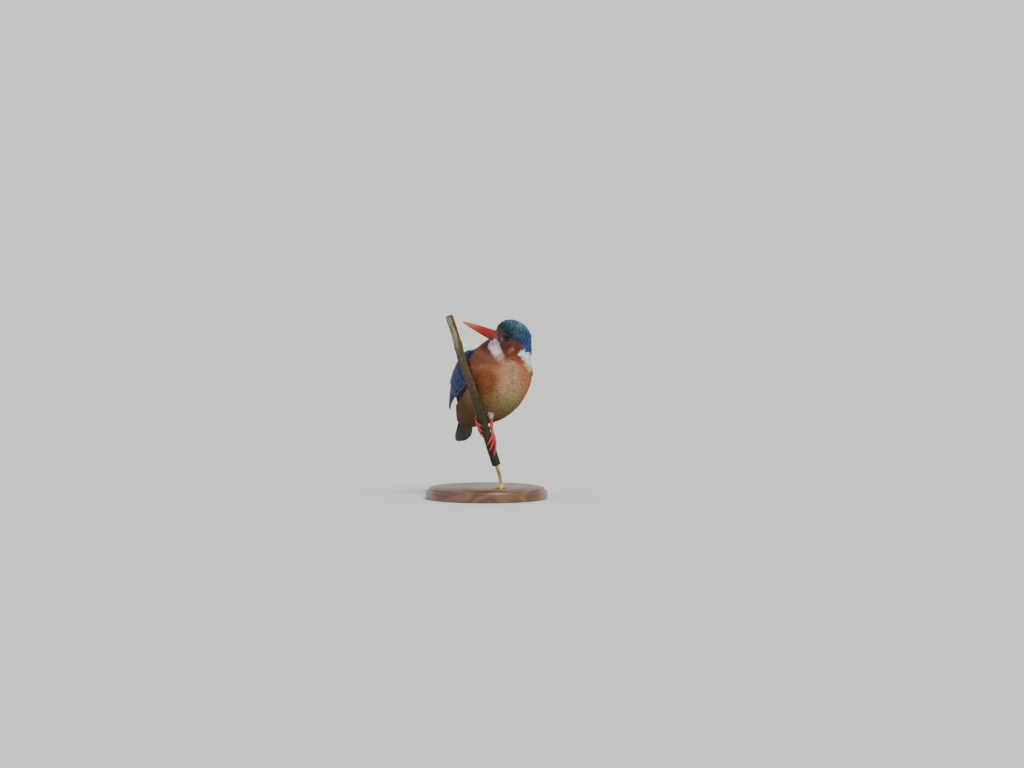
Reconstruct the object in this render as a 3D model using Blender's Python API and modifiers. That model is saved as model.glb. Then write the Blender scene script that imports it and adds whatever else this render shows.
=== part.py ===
"""Malachite kingfisher, life size, gripping a cut length of stem on a plain display stand.

Metres, +Z up. The origin is the centre of the base's underside. The breast faces -Y and +X, and
the head is turned over the bird's right shoulder, so the bill points to -X. The flesh is grown
as one form and parted by thin cuts, so head, neck and trunk share one surface.
"""

import math

import bmesh
import bpy
from mathutils import Matrix, Vector

MM = 0.001
GAP = 0.35 * MM

# Pose: headings run anticlockwise from +X and pitches above the horizon, in degrees.
BODY_HEADING = -55.0
BODY_PITCH = 50.0
NECK_PITCH = 68.0
HEAD_HEADING = -155.0
HEAD_PITCH = 22.0
TAIL_PITCH = 71.0

# Places. The head, the nape and the hips are measured from the trunk's centre.
TRUNK_CENTRE = Vector((3.0, 5.0, 78.0)) * MM
HEAD_FROM_TRUNK = Vector((14.3, -17.0, 32.8)) * MM
NAPE_FROM_TRUNK = Vector((16.0, -12.0, 23.4)) * MM
NAPE_RADIUS = 12.6 * MM
NECK_DROP = 11.5 * MM
NECK_LENGTH = 6.0 * MM

# Bill and eye, in the head's own axes.
BILL_BASE = 8.0 * MM
BILL_LENGTH = 31.0 * MM
BILL_WIDTH = 6.8 * MM
BILL_UPPER_DEPTH = 4.5 * MM
BILL_LOWER_DEPTH = 3.8 * MM
MOUTH_BASE = -3.0 * MM
MOUTH_TIP = -2.0 * MM
EYE_RADIUS = 2.6 * MM
EYE_AT = Vector((7.7, 7.0, -1.1)) * MM

# Wing and tail. The wing's front and tip lie along the trunk's axis, in millimetres.
WING_FRONT = 20.0
WING_TIP = -40.0
WING_LIFT = 0.55
WING_THICKNESS = 4.0 * MM
WING_EDGE_SHARE = 0.2
TAIL_ROOT = Vector((-30.0, 0.5, 11.0)) * MM
TAIL_LENGTH = 28.0 * MM
TAIL_WIDTH = 13.4 * MM
TAIL_THICKNESS = 2.2 * MM
TAIL_ARCH = 1.4 * MM

# Legs and feet.
TARSUS_RADIUS = 1.05 * MM
TOE_RADIUS = 0.95 * MM
CLAW_RADIUS = 0.5 * MM
CLAW_LENGTH = 3.0 * MM

# Perch, by heights above the trunk's centre, and stand.
STEM_RADIUS = 2.95 * MM
STEM_BOTTOM = -54.0 * MM
STEM_TOP = 50.0 * MM
STEM_NODE = 27.0 * MM
BASE_RADIUS = 42.0 * MM
BASE_HEIGHT = 8.0 * MM
BASE_COVE = 2.2 * MM
ROD_RADIUS = 1.3 * MM
ROD_DEPTH = 5.0 * MM
ROD_KNEE = 10.0 * MM
COLLAR_RADIUS = 4.0 * MM
COLLAR_HEIGHT = 2.4 * MM

# Sections across an axis, in millimetres: place along it, half-width, height above and depth
# below the section's centre, and that centre's own height.
TRUNK_SECTIONS = (
    (-43.0, 3.5, 2.0, 3.0, 6.0),
    (-37.0, 8.5, 4.5, 8.0, 5.5),
    (-27.0, 14.5, 9.5, 15.0, 4.0),
    (-17.0, 19.0, 14.5, 20.5, 2.0),
    (-6.0, 22.5, 19.0, 24.5, 1.0),
    (6.0, 23.7, 20.5, 25.5, 0.0),
    (17.0, 23.5, 20.0, 23.5, 0.0),
    (27.0, 19.4, 17.3, 18.0, 0.5),
    (35.0, 11.4, 12.8, 10.6, 1.5),
)
HEAD_SECTIONS = (
    (-14.2, 3.0, 3.5, 3.0, -1.0),
    (-12.0, 7.0, 7.5, 7.0, -0.5),
    (-7.0, 10.3, 11.6, 10.5, 0.0),
    (0.0, 11.5, 13.4, 11.4, 0.0),
    (6.0, 9.9, 13.2, 10.2, -0.6),
    (9.8, 7.2, 11.0, 7.4, -1.4),
    (12.0, 5.2, 7.2, 5.0, -2.2),
    (13.4, 2.6, 3.0, 2.6, -2.8),
)
WING_SECTIONS = (
    (-42.0, 10.5, 9.0, 8.0, 5.5),
    (-34.0, 13.2, 11.0, 12.0, 5.0),
    (-24.0, 16.8, 13.2, 17.0, 3.2),
    (-15.0, 20.5, 16.0, 21.0, 1.8),
    (-6.0, 23.0, 19.4, 24.5, 1.0),
    (6.0, 24.5, 21.0, 25.5, 0.0),
    (17.0, 24.3, 20.5, 23.5, 0.0),
    (24.0, 22.6, 19.0, 20.0, 0.4),
)

# Each toe's way round the stem: height and angle where it starts and where its claw begins.
TOES = {
    "left": {
        "inner": (-30.0, 8.0, -38.5, -112.0),
        "middle": (-31.0, 14.0, -42.5, -108.0),
        "outer": (-32.5, 22.0, -46.0, -84.0),
        "hind": (-29.5, 26.0, -31.0, 148.0),
    },
    "right": {
        "inner": (-21.5, 118.0, -31.5, 212.0),
        "middle": (-20.5, 124.0, -28.5, 236.0),
        "outer": (-19.5, 130.0, -25.0, 240.0),
        "hind": (-19.5, 112.0, -18.0, 8.0),
    },
}
HIPS = {"left": Vector((2.0, -5.0, -13.0)) * MM, "right": Vector((-4.0, -2.0, -9.0)) * MM}
ANKLES = {"left": Vector((0.0, -14.6, -19.0)) * MM, "right": Vector((-5.7, -11.0, -15.0)) * MM}

RUFOUS = (0.45, 0.17, 0.05)
CREAM = (0.62, 0.42, 0.24)
CROWN_BLUE = (0.03, 0.12, 0.28)
WING_BLUE = (0.03, 0.05, 0.32)
TAIL_BLUE = (0.02, 0.04, 0.16)
BILL_RED = (0.62, 0.06, 0.03)
LEG_RED = (0.58, 0.09, 0.05)
EYE_BROWN = (0.012, 0.008, 0.006)
CLAW_BROWN = (0.05, 0.025, 0.02)
BARK_BROWN = (0.08, 0.055, 0.035)
BASE_WALNUT = (0.12, 0.06, 0.03)
ROD_BRASS = (0.72, 0.5, 0.2)


def heading_frame(at, heading, pitch):
    """Axes at a point: x forward, y to the bird's left, z up through its crown or back."""
    turn = Matrix.Rotation(math.radians(heading), 4, "Z")
    tip = Matrix.Rotation(math.radians(-pitch), 4, "Y")
    return Matrix.Translation(at) @ turn @ tip


TRUNK = heading_frame(TRUNK_CENTRE, BODY_HEADING, BODY_PITCH)
HEAD = heading_frame(TRUNK_CENTRE + HEAD_FROM_TRUNK, HEAD_HEADING, HEAD_PITCH)
NECK_AXIS = heading_frame(Vector(), BODY_HEADING, NECK_PITCH).to_3x3() @ Vector((1, 0, 0))


def new_collection(name):
    collection = bpy.data.collections.new(name)
    bpy.context.scene.collection.children.link(collection)
    return collection


def add_object(name, data, matrix=None):
    obj = bpy.data.objects.new(name, data)
    HELPERS.objects.link(obj)
    obj.hide_render = True
    obj.display_type = "WIRE"
    if matrix is not None:
        obj.matrix_world = matrix
    return obj


def keep(obj, colour, roughness, metallic=0.0):
    """Moves a finished piece to the bird's collection and gives it its material."""
    HELPERS.objects.unlink(obj)
    PARTS.objects.link(obj)
    obj.hide_render = False
    obj.display_type = "TEXTURED"
    material = bpy.data.materials.new(obj.name)
    material.use_nodes = True
    shader = material.node_tree.nodes["Principled BSDF"]
    shader.inputs["Base Color"].default_value = (*colour, 1.0)
    shader.inputs["Roughness"].default_value = roughness
    shader.inputs["Metallic"].default_value = metallic
    obj.data.materials.clear()
    obj.data.materials.append(material)
    obj.data.shade_smooth()
    return obj


def remove(*objects):
    for obj in objects:
        bpy.data.objects.remove(obj, do_unlink=True)


def mesh_object(name, bm, matrix=None):
    bmesh.ops.recalc_face_normals(bm, faces=bm.faces)
    mesh = bpy.data.meshes.new(name)
    bm.to_mesh(mesh)
    bm.free()
    return add_object(name, mesh, matrix)


def as_mesh(obj):
    """The object with its modifiers or bevel applied, as one welded mesh in world space."""
    bpy.context.view_layer.update()
    graph = bpy.context.evaluated_depsgraph_get()
    mesh = bpy.data.meshes.new_from_object(obj.evaluated_get(graph))
    name, matrix = obj.name, obj.matrix_world.copy()
    remove(obj)
    bm = bmesh.new()
    bm.from_mesh(mesh)
    bmesh.ops.remove_doubles(bm, verts=bm.verts, dist=0.01 * MM)
    bm.transform(matrix)
    bpy.data.meshes.remove(mesh)
    return mesh_object(name, bm)


def carve(obj, cutter):
    cut = obj.modifiers.new("cut", "BOOLEAN")
    cut.operation = "DIFFERENCE"
    cut.object = cutter
    cut.solver = "EXACT"
    return as_mesh(obj)


def swollen(obj, by):
    """A copy grown outwards on every side, to cut a clearance with."""
    copy = add_object(obj.name + "_swollen", obj.data.copy(), obj.matrix_world.copy())
    swell = copy.modifiers.new("swell", "DISPLACE")
    swell.strength = by
    swell.mid_level = 0.0
    return as_mesh(copy)


def grown_together(name, pieces, voxel, smoothing, ratio):
    """Pieces that overlap, as one smooth skin of fewer faces."""
    bm = bmesh.new()
    for piece in pieces:
        piece.data.transform(piece.matrix_world)
        bm.from_mesh(piece.data)
    remove(*pieces)
    obj = mesh_object(name, bm)
    grow = obj.modifiers.new("grow", "REMESH")
    grow.mode = "VOXEL"
    grow.voxel_size = voxel
    soften = obj.modifiers.new("soften", "SMOOTH")
    soften.factor = 0.5
    soften.iterations = smoothing
    thin = obj.modifiers.new("thin", "DECIMATE")
    thin.ratio = ratio
    return as_mesh(obj)


def section_at(sections, x):
    """The section's sizes at x, on a smooth curve through the listed ones."""
    x = min(max(x, sections[0][0]), sections[-1][0])
    i = max(k for k in range(len(sections) - 1) if sections[k][0] <= x)
    start, end = sections[i], sections[i + 1]
    before, after = sections[max(i - 1, 0)], sections[min(i + 2, len(sections) - 1)]
    span = end[0] - start[0]
    t = (x - start[0]) / span
    sizes = []
    for k in range(1, len(start)):
        slope_in = (end[k] - before[k]) / (end[0] - before[0]) * span
        slope_out = (after[k] - start[k]) / (after[0] - start[0]) * span
        size = (2 * t**3 - 3 * t**2 + 1) * start[k] + (3 * t**2 - 2 * t**3) * end[k]
        size += (t**3 - 2 * t**2 + t) * slope_in + (t**3 - t**2) * slope_out
        sizes.append(size)
    return sizes


def section_point(sections, x, angle, outwards=0.0):
    """A point of a section, in metres: angle 0 is the left side and 90 degrees the back."""
    wide, above, below, centre = section_at(sections, x)
    tall = above if math.sin(angle) > 0 else below
    y = (wide + outwards) * math.cos(angle)
    z = centre + (tall + outwards) * math.sin(angle)
    return Vector((x, y, z)) * MM


def loft(name, rings, matrix=None):
    """A closed solid through rings of equal count, capped at both ends."""
    bm = bmesh.new()
    loops = [[bm.verts.new(point) for point in ring] for ring in rings]
    for low, high in zip(loops, loops[1:]):
        for k in range(len(low)):
            n = (k + 1) % len(low)
            bm.faces.new((low[k], low[n], high[n], high[k]))
    bm.faces.new(loops[0])
    bm.faces.new(loops[-1])
    return mesh_object(name, bm, matrix)


def section_loft(name, sections, matrix, steps, around):
    first, last = sections[0][0], sections[-1][0]
    angles = [2 * math.pi * k / around for k in range(around)]
    rings = []
    for i in range(steps + 1):
        x = first + (last - first) * (0.5 - 0.5 * math.cos(math.pi * i / steps))
        rings.append([section_point(sections, x, angle) for angle in angles])
    return loft(name, rings, matrix)


def tube(name, points, radii, sides):
    """A bent round piece of an even number of sides: a bevelled poly curve, made a mesh."""
    curve = bpy.data.curves.new(name, "CURVE")
    curve.dimensions = "3D"
    curve.bevel_depth = 1.0
    curve.bevel_resolution = sides // 2 - 2
    curve.use_fill_caps = True
    spline = curve.splines.new("POLY")
    spline.points.add(len(points) - 1)
    for knot, place, radius in zip(spline.points, points, radii):
        knot.co = (*place, 1.0)
        knot.radius = radius
    return as_mesh(add_object(name, curve))


def sphere(name, at, radius):
    bm = bmesh.new()
    bmesh.ops.create_uvsphere(bm, u_segments=14, v_segments=9, radius=radius)
    return mesh_object(name, bm, Matrix.Translation(at))


def rod_hole(at, axes, depth):
    """A cutter for the rod's hole, centred on the mouth of the hole."""
    bm = bmesh.new()
    radius = ROD_RADIUS + GAP
    bmesh.ops.create_cone(
        bm, cap_ends=True, segments=16, radius1=radius, radius2=radius, depth=2 * depth)
    return mesh_object("rod_hole", bm, Matrix.Translation(at) @ axes)


def between_planes(whole, name, low, high):
    """The flesh between two planes across the neck's axis, at heights from the head's centre."""
    bm = bmesh.new()
    bm.from_mesh(whole.data)
    for place, normal in ((low, -NECK_AXIS), (high, NECK_AXIS)):
        if place is None:
            continue
        at = HEAD.translation + NECK_AXIS * place - normal * GAP / 2
        geometry = bm.verts[:] + bm.edges[:] + bm.faces[:]
        bmesh.ops.bisect_plane(bm, geom=geometry, plane_co=at, plane_no=normal, clear_outer=True)
        rim = [edge for edge in bm.edges if edge.is_boundary]
        bmesh.ops.contextual_create(bm, geom=rim)
    bmesh.ops.triangulate(bm, faces=bm.faces)
    return mesh_object(name, bm)


def build_flesh():
    """Trunk, neck and head as one form, then parted, with the eyes in the head's sockets."""
    trunk = section_loft("trunk_form", TRUNK_SECTIONS, TRUNK, 26, 32)
    head = section_loft("head_form", HEAD_SECTIONS, HEAD, 20, 28)
    nape = sphere("nape_form", TRUNK_CENTRE + NAPE_FROM_TRUNK, NAPE_RADIUS)
    whole = grown_together("flesh", [trunk, head, nape], 0.8 * MM, 8, 0.058)
    neck_end = -NECK_DROP - NECK_LENGTH
    keep(between_planes(whole, "trunk", None, neck_end), RUFOUS, 0.8)
    keep(between_planes(whole, "neck", neck_end, -NECK_DROP), CREAM, 0.8)
    head = between_planes(whole, "head", -NECK_DROP, None)
    for side, y in (("left", EYE_AT.y), ("right", -EYE_AT.y)):
        at = HEAD @ Vector((EYE_AT.x, y, EYE_AT.z))
        keep(sphere("eye_" + side, at, EYE_RADIUS), EYE_BROWN, 0.05)
        socket = sphere("socket", at, EYE_RADIUS + GAP)
        head = carve(head, socket)
        remove(socket)
    keep(head, CROWN_BLUE, 0.7)
    near_flesh = swollen(whole, GAP)
    remove(whole)
    return near_flesh


def build_bill(near_flesh):
    """Upper and lower mandible: a long deep dagger, parted along the mouth."""
    steps, around = 10, 8
    halves = (("bill_upper", 1, BILL_UPPER_DEPTH), ("bill_lower", -1, BILL_LOWER_DEPTH))
    for name, up, depth in halves:
        rings = []
        for i in range(steps + 1):
            t = i / steps
            taper = 0.1 + 0.9 * (1 - t) ** 0.74
            mouth = MOUTH_BASE + (MOUTH_TIP - MOUTH_BASE) * t
            ring = []
            for k in range(around + 1):
                angle = math.pi * k / around
                y = BILL_WIDTH / 2 * taper * math.cos(angle)
                z = mouth + up * (GAP / 2 + depth * taper * math.sin(angle))
                ring.append(Vector((BILL_BASE + BILL_LENGTH * t, y, z)))
            rings.append(ring)
        keep(carve(loft(name, rings, HEAD), near_flesh), BILL_RED, 0.3)


def wing_edges(s):
    """Lower and upper edge of the folded wing, in degrees up its section, from front to tip."""
    lower = -12.0 + 50.0 * s**2.2
    upper = 68.0 + 4.0 * s**2
    middle = 0.5 * (lower + upper)
    rounding = math.sqrt(max(0.0, 1 - (1 - min(s / 0.22, 1)) ** 2))
    pointing = math.sqrt(max(0.0, 1 - max(0.0, (s - 0.7) / 0.3) ** 2.4))
    share = max(rounding * pointing, 0.06)
    return middle + (lower - middle) * share, middle + (upper - middle) * share


def build_wing(name, side):
    """The folded wing, a curved blade along the side of the back, thinner at its edges."""
    along, across = 16, 8
    bm = bmesh.new()
    rows, weights = [], []
    for i in range(along + 1):
        s = i / along
        lower, upper = wing_edges(s)
        x = WING_FRONT + (WING_TIP - WING_FRONT) * s
        fullness = 1.0 - 0.45 * max(0.0, 1.0 - s / 0.2) - 0.6 * max(0.0, (s - 0.75) / 0.25)
        row = []
        for k in range(across + 1):
            angle = math.radians(lower + (upper - lower) * k / across)
            point = section_point(WING_SECTIONS, x, angle, WING_LIFT)
            point.y *= side
            row.append(bm.verts.new(TRUNK @ point))
            weights.append(fullness * math.sin(math.pi * k / across) ** 0.7)
        rows.append(row)
    for low, high in zip(rows, rows[1:]):
        for k in range(across):
            quad = (low[k], low[k + 1], high[k + 1], high[k])
            bm.faces.new(quad if side < 0 else reversed(quad))
    mesh = bpy.data.meshes.new(name)
    bm.to_mesh(mesh)
    bm.free()
    wing = add_object(name, mesh)
    thick = wing.vertex_groups.new(name="thick")
    for index, weight in enumerate(weights):
        thick.add([index], weight, "REPLACE")
    shell = wing.modifiers.new("shell", "SOLIDIFY")
    shell.thickness = WING_THICKNESS
    shell.offset = 1.0
    shell.vertex_group = "thick"
    shell.thickness_vertex_group = WING_EDGE_SHARE
    keep(as_mesh(wing), WING_BLUE, 0.6)


def build_tail(near_flesh):
    """The closed tail: a short, slightly arched fan with a rounded end."""
    down = heading_frame(TRUNK @ TAIL_ROOT, BODY_HEADING + 180.0, -TAIL_PITCH)
    steps, around = 9, 14
    rings = []
    for i in range(steps + 1):
        t = math.sin(math.pi / 2 * i / steps)
        wide = TAIL_WIDTH / 2 * (0.62 + 0.38 * t) * math.sqrt(1 - (t / 1.03) ** 8)
        thick = TAIL_THICKNESS / 2 * (1.0 - 0.55 * t)
        ring = []
        for k in range(around):
            angle = 2 * math.pi * k / around
            z = thick * math.sin(angle) + TAIL_ARCH * math.sin(angle) ** 2
            ring.append(Vector((TAIL_LENGTH * t, wide * math.cos(angle), z)))
        rings.append(ring)
    keep(carve(loft("tail", rings, down), near_flesh), TAIL_BLUE, 0.6)


def stem_axis(z):
    """Centre of the leaning, slightly bowed stem at a height above the trunk's centre."""
    bow = math.exp(-(((z - 18.0 * MM) / (10.0 * MM)) ** 2))
    x = -12.9 * MM - 0.31 * z - 0.9 * MM * bow
    y = -27.4 * MM - 0.22 * z
    return TRUNK_CENTRE + Vector((x, y, z))


def stem_radius(z):
    node = math.exp(-(((z - STEM_NODE) / (2.6 * MM)) ** 2))
    return STEM_RADIUS * (1.0 - 0.0016 * z / MM + 0.16 * node)


def stem_axes(z):
    """Axes of the stem at a height: x to the side, y away and z up along it."""
    up = (stem_axis(z + MM) - stem_axis(z - MM)).normalized()
    away = Vector((0, 1, 0))
    away = (away - up * away.dot(up)).normalized()
    return Matrix((away.cross(up), away, up)).transposed().to_4x4()


def around_stem(z, angle, clearance):
    """A point beside the stem: angle 0 is +X and 90 degrees is +Y."""
    turn = math.radians(angle)
    reach = stem_radius(z) + clearance
    out = Vector((math.cos(turn), math.sin(turn), 0)) * reach
    return stem_axis(z) + stem_axes(z).to_3x3() @ out


def toe_line(way, steps=9):
    """Points along a toe, and radii that taper to the root of its claw."""
    z_start, turn_start, z_end, turn_end = way
    points, radii = [], []
    for i in range(steps + 1):
        t = i / steps
        radius = TOE_RADIUS * (1.0 - 0.3 * t)
        z = (z_start + (z_end - z_start) * t) * MM
        turn = turn_start + (turn_end - turn_start) * t**1.15
        points.append(around_stem(z, turn, radius + GAP))
        radii.append(radius)
    return points, radii


def claw_line(way, steps=5):
    """A claw goes on from the toe's end, stands off the stem and hooks back to it."""
    z_start, turn_start, z_end, turn_end = way
    far = math.hypot((z_end - z_start) * MM, math.radians(turn_end - turn_start) * STEM_RADIUS)
    points, radii = [], []
    for i in range(steps + 1):
        t = i / steps
        ahead = 1.0 + (CLAW_LENGTH * t - GAP) / far
        radius = CLAW_RADIUS * (1.0 - 0.75 * t)
        arch = TOE_RADIUS * 0.5 * math.sin(math.pi * (0.2 + 0.8 * t))
        z = (z_start + (z_end - z_start) * ahead) * MM
        turn = turn_start + (turn_end - turn_start) * ahead
        points.append(around_stem(z, turn, GAP + radius + arch))
        radii.append(radius)
    return points, radii


def build_leg(side, near_flesh):
    """A leg from the belly to its foot, four toes round the stem, and a claw on each."""
    ways = TOES[side]
    palm_z = sum(way[0] for way in ways.values()) / len(ways) * MM
    palm_turn = sum(way[1] for way in ways.values()) / len(ways)
    palm = around_stem(palm_z, palm_turn, GAP + TOE_RADIUS * 1.25)
    toes = []
    for way in ways.values():
        points, radii = toe_line(way)
        toes.append(tube("toe", [palm] + points, [TOE_RADIUS * 1.1] + radii, 8))
    foot = grown_together("foot_" + side, toes, 0.24 * MM, 2, 0.03)
    near_foot = swollen(foot, GAP)
    keep(foot, LEG_RED, 0.45)
    for toe, way in ways.items():
        points, radii = claw_line(way)
        claw = tube(f"claw_{side}_{toe}", points, radii, 6)
        keep(carve(claw, near_foot), CLAW_BROWN, 0.35)
    hip = TRUNK_CENTRE + HIPS[side]
    ankle = TRUNK_CENTRE + ANKLES[side]
    shares = ((hip, 0.0, 2.2), (hip, 0.6, 1.7), (ankle, 0.0, 1.15), (ankle, 0.35, 1.0))
    shares += ((ankle, 0.7, 1.0), (ankle, 0.92, 0.8))
    points, radii = [], []
    for start, share, girth in shares:
        end = ankle if start == hip else palm
        points.append(start.lerp(end, share))
        radii.append(TARSUS_RADIUS * girth)
    leg = carve(tube("leg_" + side, points, radii, 10), near_flesh)
    keep(carve(leg, near_foot), LEG_RED, 0.45)
    remove(near_foot)


def build_perch():
    """A cut length of woody stem with one swollen node, drilled below for the rod."""
    steps = 24
    heights = [STEM_BOTTOM + (STEM_TOP - STEM_BOTTOM) * i / steps for i in range(steps + 1)]
    stem = tube("perch_stem", [stem_axis(z) for z in heights], map(stem_radius, heights), 12)
    hole = rod_hole(stem_axis(STEM_BOTTOM), stem_axes(STEM_BOTTOM), ROD_DEPTH + GAP)
    keep(carve(stem, hole), BARK_BROWN, 0.85)
    remove(hole)


def build_stand():
    """A turned base, a metal rod that bends up into the stem, and a collar round its foot."""
    up = stem_axes(STEM_BOTTOM).to_3x3() @ Vector((0, 0, 1))
    stem_end = stem_axis(STEM_BOTTOM)
    knee = stem_end - up * ROD_KNEE
    foot = Vector((knee.x, knee.y, BASE_HEIGHT))

    # The profile runs down the outer side, from the middle of the top to that of the underside.
    bm = bmesh.new()
    profile = [Vector((0, 0, BASE_HEIGHT)), Vector((BASE_RADIUS - 2 * BASE_COVE, 0, BASE_HEIGHT))]
    for i in range(5):
        turn = math.pi / 2 * i / 4
        x = BASE_RADIUS - BASE_COVE * math.cos(turn)
        profile.append(Vector((x, 0, BASE_HEIGHT - 0.6 * MM - BASE_COVE * math.sin(turn))))
    profile += [Vector((BASE_RADIUS, 0, 0.8 * MM)), Vector((BASE_RADIUS - 0.8 * MM, 0, 0))]
    profile.append(Vector((0, 0, 0)))
    verts = [bm.verts.new(point) for point in profile]
    for a, b in zip(verts, verts[1:]):
        bm.edges.new((a, b))
    mesh = bpy.data.meshes.new("stand_base")
    bm.to_mesh(mesh)
    bm.free()
    base = add_object("stand_base", mesh)
    turned = base.modifiers.new("turned", "SCREW")
    turned.steps = 40
    turned.render_steps = 40
    turned.use_merge_vertices = True
    turned.merge_threshold = 0.01 * MM
    hole = rod_hole(foot, Matrix.Identity(4), ROD_DEPTH)
    keep(carve(as_mesh(base), hole), BASE_WALNUT, 0.4)
    remove(hole)

    points = [foot - Vector((0, 0, ROD_DEPTH - GAP))]
    bend = 4.0 * MM
    below, above = knee - Vector((0, 0, bend)), knee + up * bend
    for i in range(6):
        t = i / 5
        points.append(below * (1 - t) ** 2 + knee * 2 * t * (1 - t) + above * t**2)
    points.append(stem_end + up * (ROD_DEPTH - GAP))
    rod = tube("stand_rod", points, [ROD_RADIUS] * len(points), 10)
    keep(rod, ROD_BRASS, 0.3, 1.0)

    bm = bmesh.new()
    bmesh.ops.create_cone(
        bm, cap_ends=True, segments=20, radius1=COLLAR_RADIUS, radius2=COLLAR_RADIUS * 0.8,
        depth=COLLAR_HEIGHT)
    middle = foot + Vector((0, 0, GAP + COLLAR_HEIGHT / 2))
    collar = mesh_object("stand_collar", bm, Matrix.Translation(middle))
    hole = rod_hole(middle, Matrix.Identity(4), COLLAR_HEIGHT)
    keep(carve(collar, hole), ROD_BRASS, 0.3, 1.0)
    remove(hole)


for leftover in list(bpy.data.objects):
    bpy.data.objects.remove(leftover, do_unlink=True)
PARTS = new_collection("malachite_kingfisher")
HELPERS = new_collection("cutters")

flesh_clearance = build_flesh()
build_bill(flesh_clearance)
build_tail(flesh_clearance)
for leg_side in TOES:
    build_leg(leg_side, flesh_clearance)
remove(flesh_clearance)
build_wing("wing_left", 1)
build_wing("wing_right", -1)
build_perch()
build_stand()
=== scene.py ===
import math

import bmesh
import bpy
import numpy as np
from mathutils import Matrix, Vector, kdtree, noise
from mathutils.bvhtree import BVHTree


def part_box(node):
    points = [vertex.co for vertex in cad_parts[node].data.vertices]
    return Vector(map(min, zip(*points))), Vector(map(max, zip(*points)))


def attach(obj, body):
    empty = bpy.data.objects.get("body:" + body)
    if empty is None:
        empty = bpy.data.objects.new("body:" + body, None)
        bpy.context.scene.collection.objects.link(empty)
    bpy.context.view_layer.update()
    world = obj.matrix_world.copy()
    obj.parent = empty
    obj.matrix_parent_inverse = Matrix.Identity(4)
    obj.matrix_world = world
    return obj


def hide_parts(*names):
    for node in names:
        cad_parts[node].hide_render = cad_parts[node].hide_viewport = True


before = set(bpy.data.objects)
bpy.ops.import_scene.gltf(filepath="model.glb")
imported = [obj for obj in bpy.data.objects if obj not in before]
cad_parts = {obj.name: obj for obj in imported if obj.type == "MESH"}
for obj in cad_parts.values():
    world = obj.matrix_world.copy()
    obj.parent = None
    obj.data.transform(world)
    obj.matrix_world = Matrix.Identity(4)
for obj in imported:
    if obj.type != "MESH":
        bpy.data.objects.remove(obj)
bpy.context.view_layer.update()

# ---------------------------------------------------------------- Room
# A plain pale floor under soft, even light: a broad warm sun from high on the right, a
# weak cool one from the left, and a pale sky. The camera looks along +Y, a little downwards.

MM = 0.001
CAMERA_LENS = 250.0
CAMERA_SENSOR = 36.0
CAMERA_FAR = 4903.0
CAMERA_REACH = 200.0
CAMERA_TILT = 4.0
TRUNK_CENTRE = (3.0, 5.0, 78.0)
AIM_FROM_TRUNK = (14.5, 0.0, 0.7)
FLOOR_SIDE = 60.0
FLOOR_GREY = (0.78, 0.775, 0.76)
SKY_GREY = (0.86, 0.88, 0.9)
SKY_STRENGTH = 0.85


class Wire:
    """A socket of a material's node tree. Arithmetic on it adds Math nodes."""

    def __init__(self, tree, socket=None):
        self.tree = tree
        self.socket = socket

    def node(self, kind, settings=None, values=None, out=0):
        """A node of any type: its settings first, then its sockets' values or links."""
        made = self.tree.nodes.new(kind)
        for key, value in (settings or {}).items():
            setattr(made, key, value)
        for key, value in (values or {}).items():
            if isinstance(value, Wire):
                self.tree.links.new(value.socket, made.inputs[key])
            else:
                made.inputs[key].default_value = value
        return Wire(self.tree, made.outputs[out])

    def math(self, operation, *terms):
        return self.node("ShaderNodeMath", {"operation": operation}, dict(enumerate(terms)))

    def __add__(self, other):
        return self.math("ADD", self, other)

    def __sub__(self, other):
        return self.math("SUBTRACT", self, other)

    def __rsub__(self, other):
        return self.math("SUBTRACT", other, self)

    def __mul__(self, other):
        return self.math("MULTIPLY", self, other)

    __radd__ = __add__
    __rmul__ = __mul__

    def sine(self):
        return self.math("SINE", self)

    def place(self):
        """A point's own coordinates in its piece, in metres."""
        return self.node("ShaderNodeTexCoord", out=3)

    def colours(self, name):
        """A mesh's stored colours."""
        return self.node("ShaderNodeAttribute", {"attribute_name": name})

    def numbers(self, name):
        """A mesh's stored numbers."""
        return self.node("ShaderNodeAttribute", {"attribute_name": name}, None, 2)

    def rise(self, low, high):
        """0 below low and 1 above high, smoothly in between."""
        values = {0: self, 1: low, 2: high}
        return self.node("ShaderNodeMapRange", {"interpolation_type": "SMOOTHSTEP"}, values)

    def mix(self, first, second):
        """The first colour where this is 0 and the second where it is 1."""
        first, second = [(*c, 1.0) if isinstance(c, tuple) else c for c in (first, second)]
        values = {0: self, 6: first, 7: second}
        return self.node("ShaderNodeMix", {"data_type": "RGBA"}, values, 2)

    def stretched(self, scale):
        return self.node("ShaderNodeMapping", None, {"Vector": self, "Scale": scale})

    def noise(self, scale, detail=3.0, roughness=0.5):
        values = {"Vector": self, "Scale": scale, "Detail": detail, "Roughness": roughness}
        return self.node("ShaderNodeTexNoise", None, values)


SOCKETS = {"specular": "Specular IOR Level", "coat_ior": "Coat IOR"}


def new_material(name, roughness=0.5, **uniform):
    """A Principled material with its uniform values on the shader's own sockets."""
    material = bpy.data.materials.new(name)
    material.use_nodes = True
    shader = material.node_tree.nodes["Principled BSDF"]
    shader.inputs["Roughness"].default_value = roughness
    for key, value in uniform.items():
        shader.inputs[SOCKETS.get(key, key.replace("_", " ").title())].default_value = value
    return material, Wire(material.node_tree), shader


def paint(shader, wires, height=None, relief=0.0):
    """Links wires to the shader by socket name, and a height through a Bump node."""
    tree = shader.id_data
    for key, wire in wires.items():
        tree.links.new(wire.socket, shader.inputs[key])
    if height is not None:
        values = {"Height": height, "Distance": relief, "Strength": 1.0}
        bumped = height.node("ShaderNodeBump", None, values)
        tree.links.new(bumped.socket, shader.inputs["Normal"])


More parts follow.
